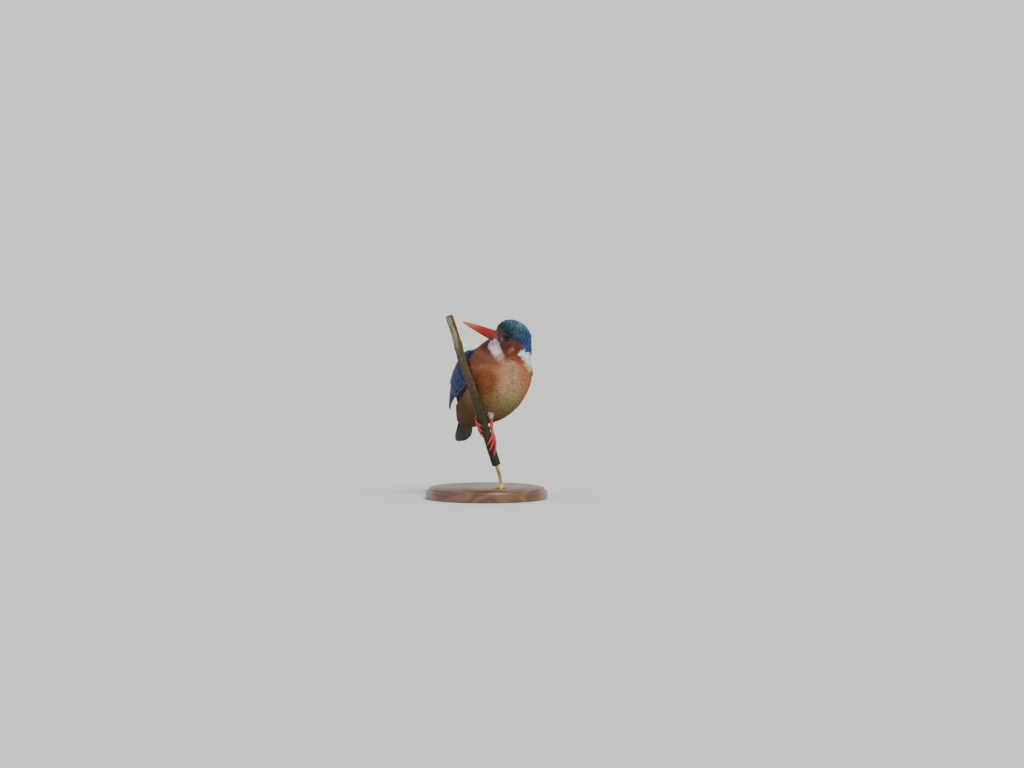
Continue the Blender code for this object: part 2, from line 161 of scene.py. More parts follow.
def new_object(name, data):
    obj = bpy.data.objects.new(name, data)
    bpy.context.scene.collection.objects.link(obj)
    return obj


def mesh_piece(name, bm, material):
    """The finished bmesh as an object at the origin, shaded smooth."""
    mesh = bpy.data.meshes.new(name)
    bm.to_mesh(mesh)
    bm.free()
    mesh.shade_smooth()
    mesh.materials.append(material)
    return new_object(name, mesh)


def place_camera():
    aim = (Vector(TRUNK_CENTRE) + Vector(AIM_FROM_TRUNK)) * MM
    tilt = math.radians(CAMERA_TILT)
    camera = new_object("camera", bpy.data.cameras.new("camera"))
    camera.data.lens = CAMERA_LENS
    camera.data.sensor_width = CAMERA_SENSOR
    camera.data.clip_end = CAMERA_REACH
    camera.location = aim + Vector((0, -math.cos(tilt), math.sin(tilt))) * CAMERA_FAR * MM
    camera.rotation_euler = (math.pi / 2 - tilt, 0, 0)
    bpy.context.scene.camera = camera


def add_sun(name, azimuth, elevation, strength, spread, colour):
    """A soft sun that shines from an azimuth, 0 from the camera's side and 90 from the left."""
    light = new_object(name, bpy.data.lights.new(name, "SUN"))
    light.data.energy = strength
    light.data.angle = math.radians(spread)
    light.data.color = colour
    turn = Matrix.Rotation(math.radians(-azimuth), 3, "Z")
    tip = Matrix.Rotation(math.radians(90.0 - elevation), 3, "X")
    light.rotation_euler = (turn @ tip).to_euler()


def build_room():
    bm = bmesh.new()
    bmesh.ops.create_grid(bm, x_segments=2, y_segments=2, size=FLOOR_SIDE / 2)
    material, wire, shader = new_material("floor_paper", 0.9)
    place = wire.place()
    shade = place.noise(3.0).rise(0.2, 0.8)
    paint(shader, {"Base Color": shade.mix(tuple(0.97 * c for c in FLOOR_GREY), FLOOR_GREY)})
    mesh_piece("floor", bm, material)
    world = bpy.data.worlds.new("pale_sky")
    bpy.context.scene.world = world
    world.use_nodes = True
    sky = world.node_tree.nodes["Background"]
    sky.inputs["Color"].default_value = (*SKY_GREY, 1.0)
    sky.inputs["Strength"].default_value = SKY_STRENGTH
    add_sun("key_sun", azimuth=-32.0, elevation=50.0, strength=2.2, spread=24.0,
            colour=(1.0, 0.97, 0.92))
    add_sun("fill_sun", azimuth=65.0, elevation=12.0, strength=0.3, spread=12.0,
            colour=(0.93, 0.96, 1.0))


place_camera()
build_room()

# ---------------------------------------------------------------- Skin
# The bird's bare body: head, neck, trunk and the arms of the folded wings. One skin is grown
# from the CAD flesh, so no seam shows, and is sunk below it by the depth of the coat there.

HEAD_CENTRE = (17.3, -12.0, 110.8)
EYE_AT = (7.7, 7.0, -1.1)
EYE_RADIUS = 2.6
BILL_ROOT = (9.5, 0.0, -2.0)
TAIL_ROOT = (-30.0, 0.5, 11.0)
TAIL_MIDDLE = (-54.0, 0.0, 5.0)
BODY_HEADING = -55.0
BODY_PITCH = 50.0
HEAD_HEADING = -155.0
HEAD_PITCH = 22.0
NECK_PITCH = 68.0
NECK_DROP = 11.5
WING_FRONT = 20.0
WING_LENGTH = 60.0
WING_LIFT = 0.55
WING_SWELL = 2.5
WING_SECTIONS = np.array((
    (-42.0, 10.5, 9.0, 8.0, 5.5),
    (-34.0, 13.2, 11.0, 12.0, 5.0),
    (-24.0, 16.8, 13.2, 17.0, 3.2),
    (-15.0, 20.5, 16.0, 21.0, 1.8),
    (-6.0, 23.0, 19.4, 24.5, 1.0),
    (6.0, 24.5, 21.0, 25.5, 0.0),
    (17.0, 24.3, 20.5, 23.5, 0.0),
    (24.0, 22.6, 19.0, 20.0, 0.4),
))
SKIN_VOXEL = 0.6
SWELL = 0.3


def heading_frame(at, heading, pitch):
    """Axes at a point in millimetres: x forward, y to the bird's left, z up or back."""
    turn = Matrix.Rotation(math.radians(heading), 4, "Z")
    tip = Matrix.Rotation(math.radians(-pitch), 4, "Y")
    return Matrix.Translation(Vector(at) * MM) @ turn @ tip


HEAD = heading_frame(HEAD_CENTRE, HEAD_HEADING, HEAD_PITCH)
TRUNK = heading_frame(TRUNK_CENTRE, BODY_HEADING, BODY_PITCH)
NECK_AXIS = heading_frame((0, 0, 0), BODY_HEADING, NECK_PITCH).to_3x3() @ Vector((1, 0, 0))


def local_mm(axes, points):
    """World points in a part's own axes, in millimetres."""
    return (points - np.array(axes.translation)) @ np.array(axes.to_3x3()) / MM


def world_m(axes, points):
    """Places in a part's own axes, in millimetres, as world points."""
    return points * MM @ np.array(axes.to_3x3()).T + np.array(axes.translation)


def ease(low, high, x):
    """0 below low and 1 above high, smoothly in between. It falls where low is the greater."""
    t = np.clip((x - low) / (high - low), 0.0, 1.0)
    return t * t * (3.0 - 2.0 * t)


def section_sizes(x):
    """The wing's half-width, height above, depth below and centre height at places x."""
    places, sizes = WING_SECTIONS[:, 0], WING_SECTIONS[:, 1:]
    slopes = np.gradient(sizes, places, axis=0)
    x = np.clip(x, places[0], places[-1])
    i = np.clip(np.searchsorted(places, x) - 1, 0, len(places) - 2)
    span = (places[i + 1] - places[i])[:, None]
    t = (x - places[i])[:, None] / span
    found = (2 * t**3 - 3 * t**2 + 1) * sizes[i] + (3 * t**2 - 2 * t**3) * sizes[i + 1]
    found += span * ((t**3 - 2 * t**2 + t) * slopes[i] + (t**3 - t**2) * slopes[i + 1])
    return found.T


def wing_edges(s):
    """Lower and upper edge of the folded wing, in degrees up its section, front to tip."""
    lower = -12.0 + 50.0 * s**2.2
    upper = 68.0 + 4.0 * s**2
    middle = 0.5 * (lower + upper)
    rounding = np.sqrt(np.maximum(0.0, 1 - (1 - np.minimum(s / 0.22, 1)) ** 2))
    pointing = np.sqrt(np.maximum(0.0, 1 - np.maximum(0.0, (s - 0.7) / 0.3) ** 2.4))
    share = np.maximum(rounding * pointing, 0.06)
    return middle + (lower - middle) * share, middle + (upper - middle) * share


def wing_swell(s, angle):
    """How far the folded wing stands off the body, most along its middle, in millimetres."""
    lower, upper = wing_edges(np.clip(s, 0.0, 1.0))
    up = np.clip((angle - lower) / (upper - lower), 0.0, 1.0)
    full = 1.0 - 0.45 * np.maximum(0.0, 1.0 - s / 0.2) - 0.6 * np.maximum(0.0, (s - 0.75) / 0.25)
    return WING_SWELL * full * np.sin(math.pi * up) ** 0.7


def edge_sink(s, angle):
    """How far the wing's front and upper edges sink into the coat, in millimetres."""
    lower, upper = wing_edges(np.clip(s, 0.0, 1.0))
    up = (angle - lower) / (upper - lower)
    return 2.2 * ease(0.1, 0.0, s) + 1.1 * ease(0.82, 1.1, up) * ease(0.9, 0.7, s)


def wing_points(side, s, angle, lift):
    """World points of the wing: s from its front to its tip, an angle up, and a lift in mm."""
    wide, above, below, centre = section_sizes(WING_FRONT - WING_LENGTH * s)
    turn = np.radians(angle)
    tall = np.where(np.sin(turn) > 0, above, below)
    out = WING_LIFT + lift + wing_swell(s, angle) - edge_sink(s, angle)
    y = side * (wide + out) * np.cos(turn)
    z = centre + (tall + out) * np.sin(turn)
    return world_m(TRUNK, np.stack([WING_FRONT - WING_LENGTH * s, y, z], -1))


def wing_place(points):
    """How far along the wing points lie, and how far up it: 0 its lower edge, 1 its upper."""
    local = local_mm(TRUNK, points)
    s = (WING_FRONT - local[:, 0]) / WING_LENGTH
    wide, above, _, centre = section_sizes(local[:, 0])
    angle = np.degrees(np.arctan2((local[:, 2] - centre) / above, np.abs(local[:, 1]) / wide))
    lower, upper = wing_edges(np.clip(s, 0.0, 1.0))
    return s, (angle - lower) / (upper - lower)


def under_wing(points, margin):
    """1 where the folded wing covers the body, by a margin in shares of its width."""
    s, up = wing_place(points)
    inside = ease(margin - 0.02, margin + 0.02, up) * ease(margin - 0.02, margin + 0.02, 1 - up)
    return inside * ease(0.02, 0.06, s - margin) * ease(0.74, 0.66, s + 0.2 * ease(0.45, 0.75, up))


def coat_depth(points):
    """The coat's depth in millimetres: least at the bill, most on the breast and belly."""
    from_bill = np.linalg.norm(local_mm(HEAD, points) - BILL_ROOT, axis=1)
    depth = np.interp(from_bill, [2.0, 6.0, 14.0, 30.0], [0.35, 0.6, 1.1, 1.8])
    return depth * (0.5 + 0.5 * ease(-43.0, -28.0, local_mm(TRUNK, points)[:, 0]))


def merged_copy(*nodes):
    """Copies of CAD nodes in one bmesh, with their loose triangles welded."""
    bm = bmesh.new()
    for node in nodes:
        bm.from_mesh(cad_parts[node].data)
    bmesh.ops.remove_doubles(bm, verts=bm.verts, dist=0.001 * MM)
    return bm


def grown_skin(bm, voxel, rounds):
    """The overlapping forms of a bmesh as one even skin, smoothed, as a bmesh."""
    form = new_object("form", bpy.data.meshes.new("form"))
    bm.to_mesh(form.data)
    bm.free()
    grow = form.modifiers.new("grow", "REMESH")
    grow.mode = "VOXEL"
    grow.voxel_size = voxel * MM
    soften = form.modifiers.new("soften", "SMOOTH")
    soften.factor = 0.5
    soften.iterations = rounds
    bpy.context.view_layer.update()
    graph = bpy.context.evaluated_depsgraph_get()
    grown = bmesh.new()
    grown.from_mesh(form.evaluated_get(graph).to_mesh())
    bpy.data.objects.remove(form)
    return grown


def places_of(bm):
    return np.array([v.co for v in bm.verts])


def add_wing_arm(bm, side):
    """The wing's arm and hand, a thin curved pad that the flight feathers grow from."""
    arm = bmesh.new()
    bmesh.ops.create_grid(arm, x_segments=24, y_segments=12, size=1.0)
    local = places_of(arm)
    s = 0.33 + 0.29 * local[:, 0]
    lower, upper = wing_edges(s)
    angle = 0.5 * (lower + upper) + 0.45 * (upper - lower) * local[:, 1]
    lift = 0.7 - 2.8 * ease(0.4, 1.0, local[:, 0])
    for vert, place in zip(arm.verts, wing_points(side, s, angle, lift)):
        vert.co = place
    arm.normal_update()
    arm.verts.ensure_lookup_table()
    if (arm.verts[0].co - TRUNK.translation).dot(arm.verts[0].normal) < 0:
        bmesh.ops.reverse_faces(arm, faces=arm.faces)
    bmesh.ops.solidify(arm, geom=arm.faces, thickness=(1.4 + WING_SWELL) * MM)
    mesh = bpy.data.meshes.new("arm")
    arm.to_mesh(mesh)
    arm.free()
    bm.from_mesh(mesh)


def build_skin():
    bm = merged_copy("head", "neck", "trunk")
    bm.normal_update()
    for vert in bm.verts:
        vert.co += vert.normal * SWELL * MM
    for y in (EYE_AT[1], -EYE_AT[1]):
        eye = HEAD @ (Vector((EYE_AT[0], y, EYE_AT[2])) * MM)
        bmesh.ops.create_uvsphere(bm, u_segments=24, v_segments=16, radius=EYE_RADIUS * MM,
                                  matrix=Matrix.Translation(eye))
    for side in (1, -1):
        add_wing_arm(bm, side)
    skin = grown_skin(bm, SKIN_VOXEL, 4)
    skin.normal_update()
    depths = (coat_depth(places_of(skin)) + SWELL) * (1.0 - 0.8 * under_wing(places_of(skin), 0.05))
    for vert, depth in zip(skin.verts, depths):
        vert.co -= vert.normal * depth * MM
    for _ in range(3):
        bmesh.ops.smooth_vert(skin, verts=skin.verts, factor=0.5, use_axis_x=True,
                              use_axis_y=True, use_axis_z=True)
    bmesh.ops.triangulate(skin, faces=skin.faces)
    skin.normal_update()
    return skin


skin_form = build_skin()
skin_tree = BVHTree.FromBMesh(skin_form)

# ---------------------------------------------------------------- Markings
# The colours of a malachite kingfisher, by place on the body: barred blue crown, rufous cheek
# and breast, white throat and neck patches, cream belly and a bright blue back. Over them lie
# painted shade on the lower belly, the breast's right side, the vent and the cap's lower edge,
# and painted highlights on the crown's top, on the cheek and by the eye.

PLUMAGE_SRGB = {
    "breast": (192, 142, 110),
    "flank": (190, 104, 54),
    # a darker amber patch, deepened on the right as painted shade
    "amber_and_painted_shade": (132, 76, 28),
    "cream": (222, 190, 152),
    "belly": (170, 162, 106),
    # painted shade of the lower belly
    "painted_belly_shade": (122, 104, 56),
    # the rufous vent, darkened with painted shade
    "vent_with_painted_shade": (84, 50, 22),
    # painted shade on the breast's right side
    "collar": (122, 70, 58),
    "cheek": (122, 62, 32),
    "ear": (104, 56, 46),
    "spot": (150, 60, 22),
    # a painted highlight on the cheek
    "streak": (212, 148, 124),
    "lores": (112, 70, 68),
    # a painted glint at the eye's front corner
    "painted_eye_glint": (196, 182, 180),
    "forehead": (96, 88, 76),
    "throat": (242, 238, 252),
    "chin": (244, 202, 216),
    "blush": (206, 168, 152),
    "patch": (252, 252, 255),
    "buff": (236, 222, 172),
    "thigh": (214, 190, 160),
    "crown": (46, 100, 124),
    "brow": (94, 144, 206),
    # painted highlight on the crown's top
    "painted_crown_highlight": (132, 184, 204),
    # painted shade along the cap's lower edge
    "painted_cap_edge_shade": (26, 30, 38),
    "nape": (38, 90, 172),
    "back": (30, 84, 186),
    "wing": (40, 44, 96),
}


def linear(srgb):
    """A colour of 0 to 255 in linear light."""
    c = np.array(srgb, float) / 255.0
    return np.where(c <= 0.04045, c / 12.92, ((c + 0.055) / 1.055) ** 2.4)


PLUMAGE = {name: linear(colour) for name, colour in PLUMAGE_SRGB.items()}
PALE_MIDDLE = -4.0


def mirrored(points):
    """Points in a part's axes with the right side turned over to the left."""
    return np.stack([points[:, 0], np.abs(points[:, 1]), points[:, 2]], -1)


def oval(points, centre, radii, soft=0.25):
    """1 inside an oval on both sides and 0 outside it, with a soft rim."""
    reach = np.linalg.norm((mirrored(points) - centre) / radii, axis=1)
    return 1.0 - ease(1.0 - soft, 1.0 + soft, reach)


def stripe(points, start, end, radius, soft=0.25):
    """1 along a line between two places on both sides, and 0 further from it than a radius."""
    run = np.subtract(end, start)
    off = mirrored(points) - start
    share = np.clip(off @ run / (run @ run), 0.0, 1.0)
    reach = np.linalg.norm(off - share[:, None] * run, axis=1) / radius
    return 1.0 - ease(1.0 - soft, 1.0 + soft, reach)


def drift(points, scale, seed):
    """Slow random variation over the body, about -1 to 1, with a cell of scale millimetres."""
    shift = Vector((seed * 7.3, seed * 3.1, seed * 5.7))
    return np.array([noise.noise(Vector(p) / (scale * MM) + shift) for p in points]) * 1.6


def crown_border(x):
    """Height of the blue cap's lower edge at places x along the head: up over the eye."""
    border = -1.8 - 3.2 * ease(-3.0, -11.0, x) + 2.6 * ease(3.0, 8.0, x)
    return border + 4.2 * ease(10.0, 13.0, x) - 4.0 * ease(-17.0, -21.0, x)


def above_neck(points):
    """How far points lie above the head's centre, along the neck and in millimetres."""
    return (points - np.array(HEAD.translation)) @ np.array(NECK_AXIS) / MM


def blue_share(points):
    """1 on the blue crown, nape, hind neck and back, and 0 on the face and underparts."""
    head, trunk = local_mm(HEAD, points), local_mm(TRUNK, points)
    crown = ease(-0.5, 0.5, head[:, 2] - crown_border(head[:, 0]))
    up_neck = above_neck(points)
    axis = np.array(TRUNK.translation) + np.array((6.0, -8.0, 0.0)) * MM
    turn = np.degrees(np.arctan2(points[:, 1] - axis[1], points[:, 0] - axis[0]))
    hind = 42.0 + 80.0 * ease(-4.0, -20.0, up_neck)
    off = np.abs((turn - hind + 180.0) % 360.0 - 180.0)
    neck = 1.0 - ease(-3.0, 3.0, off - 46.0)
    back_angle = np.degrees(np.arctan2(trunk[:, 2], np.abs(trunk[:, 1])))
    back = ease(-3.0, 3.0, back_angle - 30.0 - 12.0 * ease(0.0, -24.0, trunk[:, 0]))
    head_share = ease(-8.0, -5.0, up_neck)
    trunk_share = ease(-16.0, -22.0, up_neck)
    lower = neck * (1.0 - trunk_share) + back * trunk_share
    return crown * head_share + lower * (1.0 - head_share)


def leg_line(label):
    """Where a leg leaves the belly, and the way it goes down from there."""
    places = np.array([v.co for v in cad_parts["leg_" + label].data.vertices])
    from_top = (places[:, 2].max() - places[:, 2]) / MM
    top = places[from_top < 2.0].mean(axis=0)
    way = places[(from_top > 3.5) & (from_top < 7.0)].mean(axis=0) - top
    return top, way / np.linalg.norm(way)


def thigh_share(points):
    """1 round the tops of the legs, where short whitish feathers cover the thighs."""
    nearest = [np.linalg.norm(points - leg_line(label)[0], axis=1) for label in ("left", "right")]
    return ease(3.6, 2.2, np.minimum(*nearest) / MM)


def plumage(points):
    """The coat's colour at world points, as linear RGB, painted shade and highlights included."""
    head, trunk = local_mm(HEAD, points), local_mm(TRUNK, points)
    up_neck = above_neck(points)
    colour = np.tile(PLUMAGE["breast"], (len(points), 1))

    def lay(name, share):
        nonlocal colour
        colour += (PLUMAGE[name] - colour) * np.clip(share, 0.0, 1.0)[:, None]

    mottle, broad = drift(points, 3.2, 1), drift(points, 8.0, 2)
    x, right = trunk[:, 0], ease(-5.0, 5.0, -trunk[:, 1])
    side = np.abs(trunk[:, 1] - PALE_MIDDLE) + 1.2 * mottle
    lay("cream", (0.25 + 0.5 * mottle) * ease(10.0, 4.0, side))
    lay("belly", ease(20.0, 10.0, x) * ease(18.0, 9.0, side) * (0.9 + 0.2 * broad))
    # Painted shade: the lower belly is darkened to olive, most towards the vent and on the right.
    lay("painted_belly_shade", ease(12.0, -6.0, x - 0.6 * side + 2.0 * broad - 4.0 * right) * 0.8)
    low = ease(-17.0, -25.0, trunk[:, 2])
    lay("flank", ease(3.0, 13.0, side) * ease(-6.0, 12.0, x) * (1.0 - low) * (0.72 + 0.15 * broad))
    # A darker amber patch on both sides of the breast, deepened on the right side as painted shade.
    lay("amber_and_painted_shade", oval(trunk, (15.5, 18.0, -11.5), (9.4, 8.0, 8.6), 0.3) * (0.3 + 0.6 * right))
    # Painted shade: the breast's right side, up towards the neck, is darkened to rose-brown.
    lay("collar", right * ease(14.0, 24.0, x + trunk[:, 2] + 2.0 * broad) * 0.8)
    # The rufous vent, darkened with painted shade under the bird.
    lay("vent_with_painted_shade", ease(2.0, -14.0, x - 0.3 * (side - 10.0) + 1.5 * broad) * 0.95)
    lay("thigh", thigh_share(points))
    face = ease(-11.5, -8.5, up_neck)
    lay("cheek", face)
    lay("ear", face * ease(-3.0, 3.5, head[:, 0] + 0.35 * (head[:, 2] + 6.0)) * 0.9)
    # Painted highlight: a pale pink spot on the cheek.
    lay("streak", oval(head, (1.0, 8.5, -8.2), (1.7, 4.0, 2.6), 0.6) * 0.75)
    lay("spot", oval(head, (-7.0, 7.0, -12.8), (4.2, 5.0, 2.6), 0.5) * 0.8)
    lay("lores", oval(head, (11.2, 4.5, -3.0), (3.2, 5.0, 3.4), 0.4))
    lay("blush", stripe(head, (8.4, 2.0, -12.5), (6.5, 5.5, -15.0), 3.0, 0.5) * 0.8)
    lay("throat", stripe(head, (12.2, 1.6, -6.0), (8.6, 1.8, -11.8), 3.3, 0.3))
    lay("chin", oval(head, (12.8, 3.0, -5.2), (2.4, 3.6, 2.2), 0.5) * 0.7)
    lay("lores", oval(head, (10.2, 5.0, -3.8), (2.6, 2.6, 2.0), 0.4))
    blue = blue_share(points)
    lay("crown", blue)
    lay("brow", blue * oval(head, (9.0, 2.5, 6.0), (4.5, 5.0, 3.4), 0.4) * 0.8)
    # Painted highlight: the top of the crown is lightened.
    lay("painted_crown_highlight", blue * ease(5.0, 10.0, head[:, 2]) * 0.65)
    # Painted shade: a dark band along the cap's lower edge near the eye.
    rim = ease(4.2, 1.2, head[:, 2] - crown_border(head[:, 0]))
    lay("painted_cap_edge_shade", blue * rim * ease(-5.0, -1.0, head[:, 0]) * 0.8)
    lay("nape", blue * ease(3.0, -7.0, head[:, 0] + 0.2 * head[:, 2]))
    lay("back", blue * ease(-12.0, -22.0, up_neck))
    lay("forehead", oval(head, (13.0, 0.0, 3.5), (3.6, 5.0, 5.0), 0.5) * 0.8)
    # Painted glint: a small pale spot at the eye's front lower corner.
    lay("painted_eye_glint", oval(head, (9.1, 7.0, -2.8), (0.9, 3.0, 0.75), 0.4) * 0.85)
    lay("buff", stripe(head, (-14.5, 4.0, -11.5), (-18.8, 2.5, -14.5), 2.5, 0.4) * 0.85)
    lay("patch", stripe(head, (-7.2, 7.2, -7.0), (-19.0, 1.5, -10.2), 2.5, 0.2))
    lay("patch", oval(head, (-17.0, 2.0, -7.6), (5.0, 7.0, 4.6), 0.2))
    lay("wing", under_wing(points, 0.04))
    return np.maximum(colour, 0.0)


def write_colour(mesh, name, colours):
    """Stores linear colours, one for each vertex, as the mesh's colour attribute."""
    attribute = mesh.color_attributes.new(name, "FLOAT_COLOR", "POINT")
    data = np.ones((len(colours), 4), np.float32)
    data[:, :3] = colours
    attribute.data.foreach_set("color", data.ravel())


def build_skin_piece():
    material, wire, shader = new_material("bare_skin", 0.8)
    colour = wire.colours("plumage")
    place = wire.place()
    down = place.noise(1600.0, 2.0)
    paint(shader, {"Base Color": down.rise(0.2, 0.8).mix(colour, (0.05, 0.03, 0.03))}, down,
          0.15 * MM)
    skin = mesh_piece("skin", skin_form.copy(), material)
    write_colour(skin.data, "plumage", plumage(places_of(skin_form)) * 0.55)
    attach(skin, "root")
    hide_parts("head", "neck", "trunk")


build_skin_piece()

# ---------------------------------------------------------------- Body feathers
# Contour feathers: thin vanes with a frayed tip, lying back from the bill to the tail and
# overlapping like tiles, longest on the belly and least on the face, and whitish tufts on the
# thighs. Each is a closed lens, and those of one tract are joined in one mesh.

TAU = 2.0 * math.pi
BLUE_FROM = 0.5
BREAST_FROM = 4.0
EYE_CLEAR = 2.75
BAKE_PATCH = 0.003


def feather_size(points):
    """Length of the feathers at points, in millimetres."""
    from_bill = np.linalg.norm(local_mm(HEAD, points) - BILL_ROOT, axis=1)
    length = np.interp(from_bill, [0.0, 4.0, 9.0, 16.0, 30.0, 60.0],
                       [0.9, 1.3, 2.1, 3.4, 5.2, 6.6])
    return length * (1.0 + 0.35 * blue_share(points) * ease(2.0, 12.0, from_bill))


def scatter(tree_form, wanted, spacing, rng, crowd=7.0):
    """Places at random on a surface, none closer to another than the spacing there, in mm."""
    corners = np.array([[v.co for v in face.verts] for face in tree_form.faces])
    middle = corners.mean(axis=1)
    near = wanted(middle) > 0.5
    corners, middle = corners[near], middle[near]
    cross = np.cross(corners[:, 1] - corners[:, 0], corners[:, 2] - corners[:, 0])
    area = np.linalg.norm(cross, axis=1) / 2
    tries = rng.poisson(area / (spacing(middle) * MM) ** 2 * crowd)
    corners = np.repeat(corners, tries, axis=0)
    a, b = rng.random(len(corners)), rng.random(len(corners))
    over = a + b > 1.0
    a[over], b[over] = 1.0 - a[over], 1.0 - b[over]
    points = corners[:, 0] + a[:, None] * (corners[:, 1] - corners[:, 0])
    points += b[:, None] * (corners[:, 2] - corners[:, 0])
    reach = spacing(points) * MM
    near_by = kdtree.KDTree(len(points))
    for i, point in enumerate(points):
        near_by.insert(point, i)
    near_by.balance()
    free = np.ones(len(points), bool)
    kept = []
    for i in rng.permutation(len(points)):
        if free[i]:
            kept.append(i)
            for _, other, _ in near_by.find_range(points[i], reach[i]):
                free[other] = False
    return points[kept]


def unit(vectors):
    return vectors / np.linalg.norm(vectors, axis=-1, keepdims=True)


def lie_of_coat(points):
    """The way feathers point: away from the bill, and more and more towards the tail."""
    bill = world_m(HEAD, np.array([BILL_ROOT]))
    tail = world_m(TRUNK, np.array([TAIL_MIDDLE]))
    away, back = points - bill, tail - points
    away /= np.linalg.norm(away, axis=1)[:, None] ** 2.6
    back /= np.linalg.norm(back, axis=1)[:, None] ** 2.2
    way = away + back * 0.22
    return unit(way)


def walk_skin(tree, roots, ways, lengths, rows):
    """Each feather's midline laid over the skin: its places, directions and skin normals."""
    shape = (len(roots), rows + 1, 3)
    places, along, normals = np.empty(shape), np.empty(shape), np.empty(shape)
    for i in range(len(roots)):
        point, way = Vector(roots[i]), Vector(ways[i])
        step = float(lengths[i]) * MM / rows
        for k in range(rows + 1):
            point, normal = tree.find_nearest(point)[:2]
            way = (way - normal * way.dot(normal)).normalized()
            places[i, k], along[i, k], normals[i, k] = point, way, normal
            point = point + way * step
    return places, along, normals


def vane_faces(rows, columns):
    """Faces of one vane: its upper side in quads, and a plainer underside on the same rim."""
    wide = columns + 1
    faces = []
    for k in range(rows):
        for j in range(columns):
            low, high = k * wide + j, (k + 1) * wide + j
            faces.append((low, high, high + 1, low + 1))
    upper = len(faces)
    faces.append((*range(wide), 2 * wide - 1, wide))
    for k in range(1, rows - 1):
        faces.append((k * wide, (k + 1) * wide - 1, (k + 2) * wide - 1, (k + 1) * wide))
    last = rows * wide
    faces.append((last - wide, last - 1, *range(last + wide - 1, last - 1, -1)))
    return faces, upper


def joined_feathers(name, vanes, faces, upper, roots_uv, colours, material):
    """One mesh of many vanes of the same faces. vanes is feathers x rows x columns x 3."""
    count, rows, columns = vanes.shape[:3]
    per = rows * columns
    mesh = bpy.data.meshes.new(name)
    mesh.vertices.add(count * per)
    mesh.vertices.foreach_set("co", vanes.astype(np.float32).ravel())
    corners = np.concatenate([np.array(face) for face in faces])
    starts = np.cumsum([0] + [len(face) for face in faces[:-1]])
    numbers = np.arange(count)[:, None]
    mesh.loops.add(count * len(corners))
    mesh.loops.foreach_set("vertex_index", (corners + per * numbers).ravel().astype(np.int32))
    mesh.polygons.add(count * len(faces))
    firsts = (starts + len(corners) * numbers).ravel().astype(np.int32)
    mesh.polygons.foreach_set("loop_start", firsts)
    mesh.update(calc_edges=True)
    mesh.shade_smooth()
    mesh.set_sharp_from_angle(angle=math.radians(70.0))
    t, u = np.meshgrid(np.linspace(0, 1, rows), np.linspace(0, 1, columns), indexing="ij")
    local = np.stack([t.ravel(), u.ravel()], -1)[corners]
    bake = mesh.uv_layers.new(name="OFBake")
    spread = roots_uv[:, None, :] + (local - 0.5)[None] * BAKE_PATCH
    bake.data.foreach_set("uv", spread.astype(np.float32).ravel())
    vane = mesh.uv_layers.new(name="vane")
    vane.data.foreach_set("uv", np.tile(local.ravel(), count).astype(np.float32))
    under = mesh.attributes.new("under", "FLOAT", "FACE")
    below = (np.arange(len(faces)) >= upper).astype(np.float32)
    under.data.foreach_set("value", np.tile(below, count))
    write_colour(mesh, "plumage", colours.reshape(-1, 3))
    mesh.materials.append(material)
    return new_object(name, mesh)


def contour_outline(t):
    """Half-width of a body feather along it: narrow at the root, full towards its tip."""
    return 0.35 + 0.65 * np.sin(np.minimum(t / 0.62, 1) * TAU / 4)


def vane_points(places, along, normals, width, rise, camber, columns, outline, fray, rng,
                blunt=0.35):
    """Vertices of vanes on their midlines. rise is each row's height above the surface, blunt
    rounds the tip, and fray is how deep its notches are, as a share of the length."""
    count, rows = places.shape[:2]
    t = np.linspace(0.0, 1.0, rows)[None, :, None]
    u = np.linspace(-1.0, 1.0, columns)[None, None, :]
    side = np.cross(normals, along)
    half = 0.5 * width[:, None, None] * outline(t)
    length = np.linalg.norm(places[:, -1] - places[:, 0], axis=1)[:, None, None] / MM
    back = -blunt * u**2 * t**3 * width[:, None, None]
    notch = (np.arange(columns) % 2 == 1)[None, None, :] * (t > 0.99)
    back = back - notch * length * fray * (0.6 + 0.8 * rng.random((count, 1, columns)))
    height = rise[:, :, None] + camber[:, None, None] * (1.0 - u**2) * np.sqrt(t * (1.15 - t))
    height = height - (u * half) ** 2 / 40.0
    across = half * u
    return places[:, :, None] + MM * (side[:, :, None] * across[..., None]
                                      + along[:, :, None] * back[..., None]
                                      + normals[:, :, None] * height[..., None])


def bake_place(axes, points):
    """Where roots lie on an unwrap round a part's long axis, each number from 0 to 1."""
    local = local_mm(axes, points)
    turn = np.arctan2(local[:, 1], -local[:, 2]) / TAU + 0.5
    way = np.arctan2(local[:, 0], np.hypot(local[:, 1], local[:, 2])) / math.pi + 0.5
    placed = np.stack([turn, way], -1)
    low, high = placed.min(axis=0), placed.max(axis=0)
    return 0.01 + 0.98 * (placed - low) / (high - low)


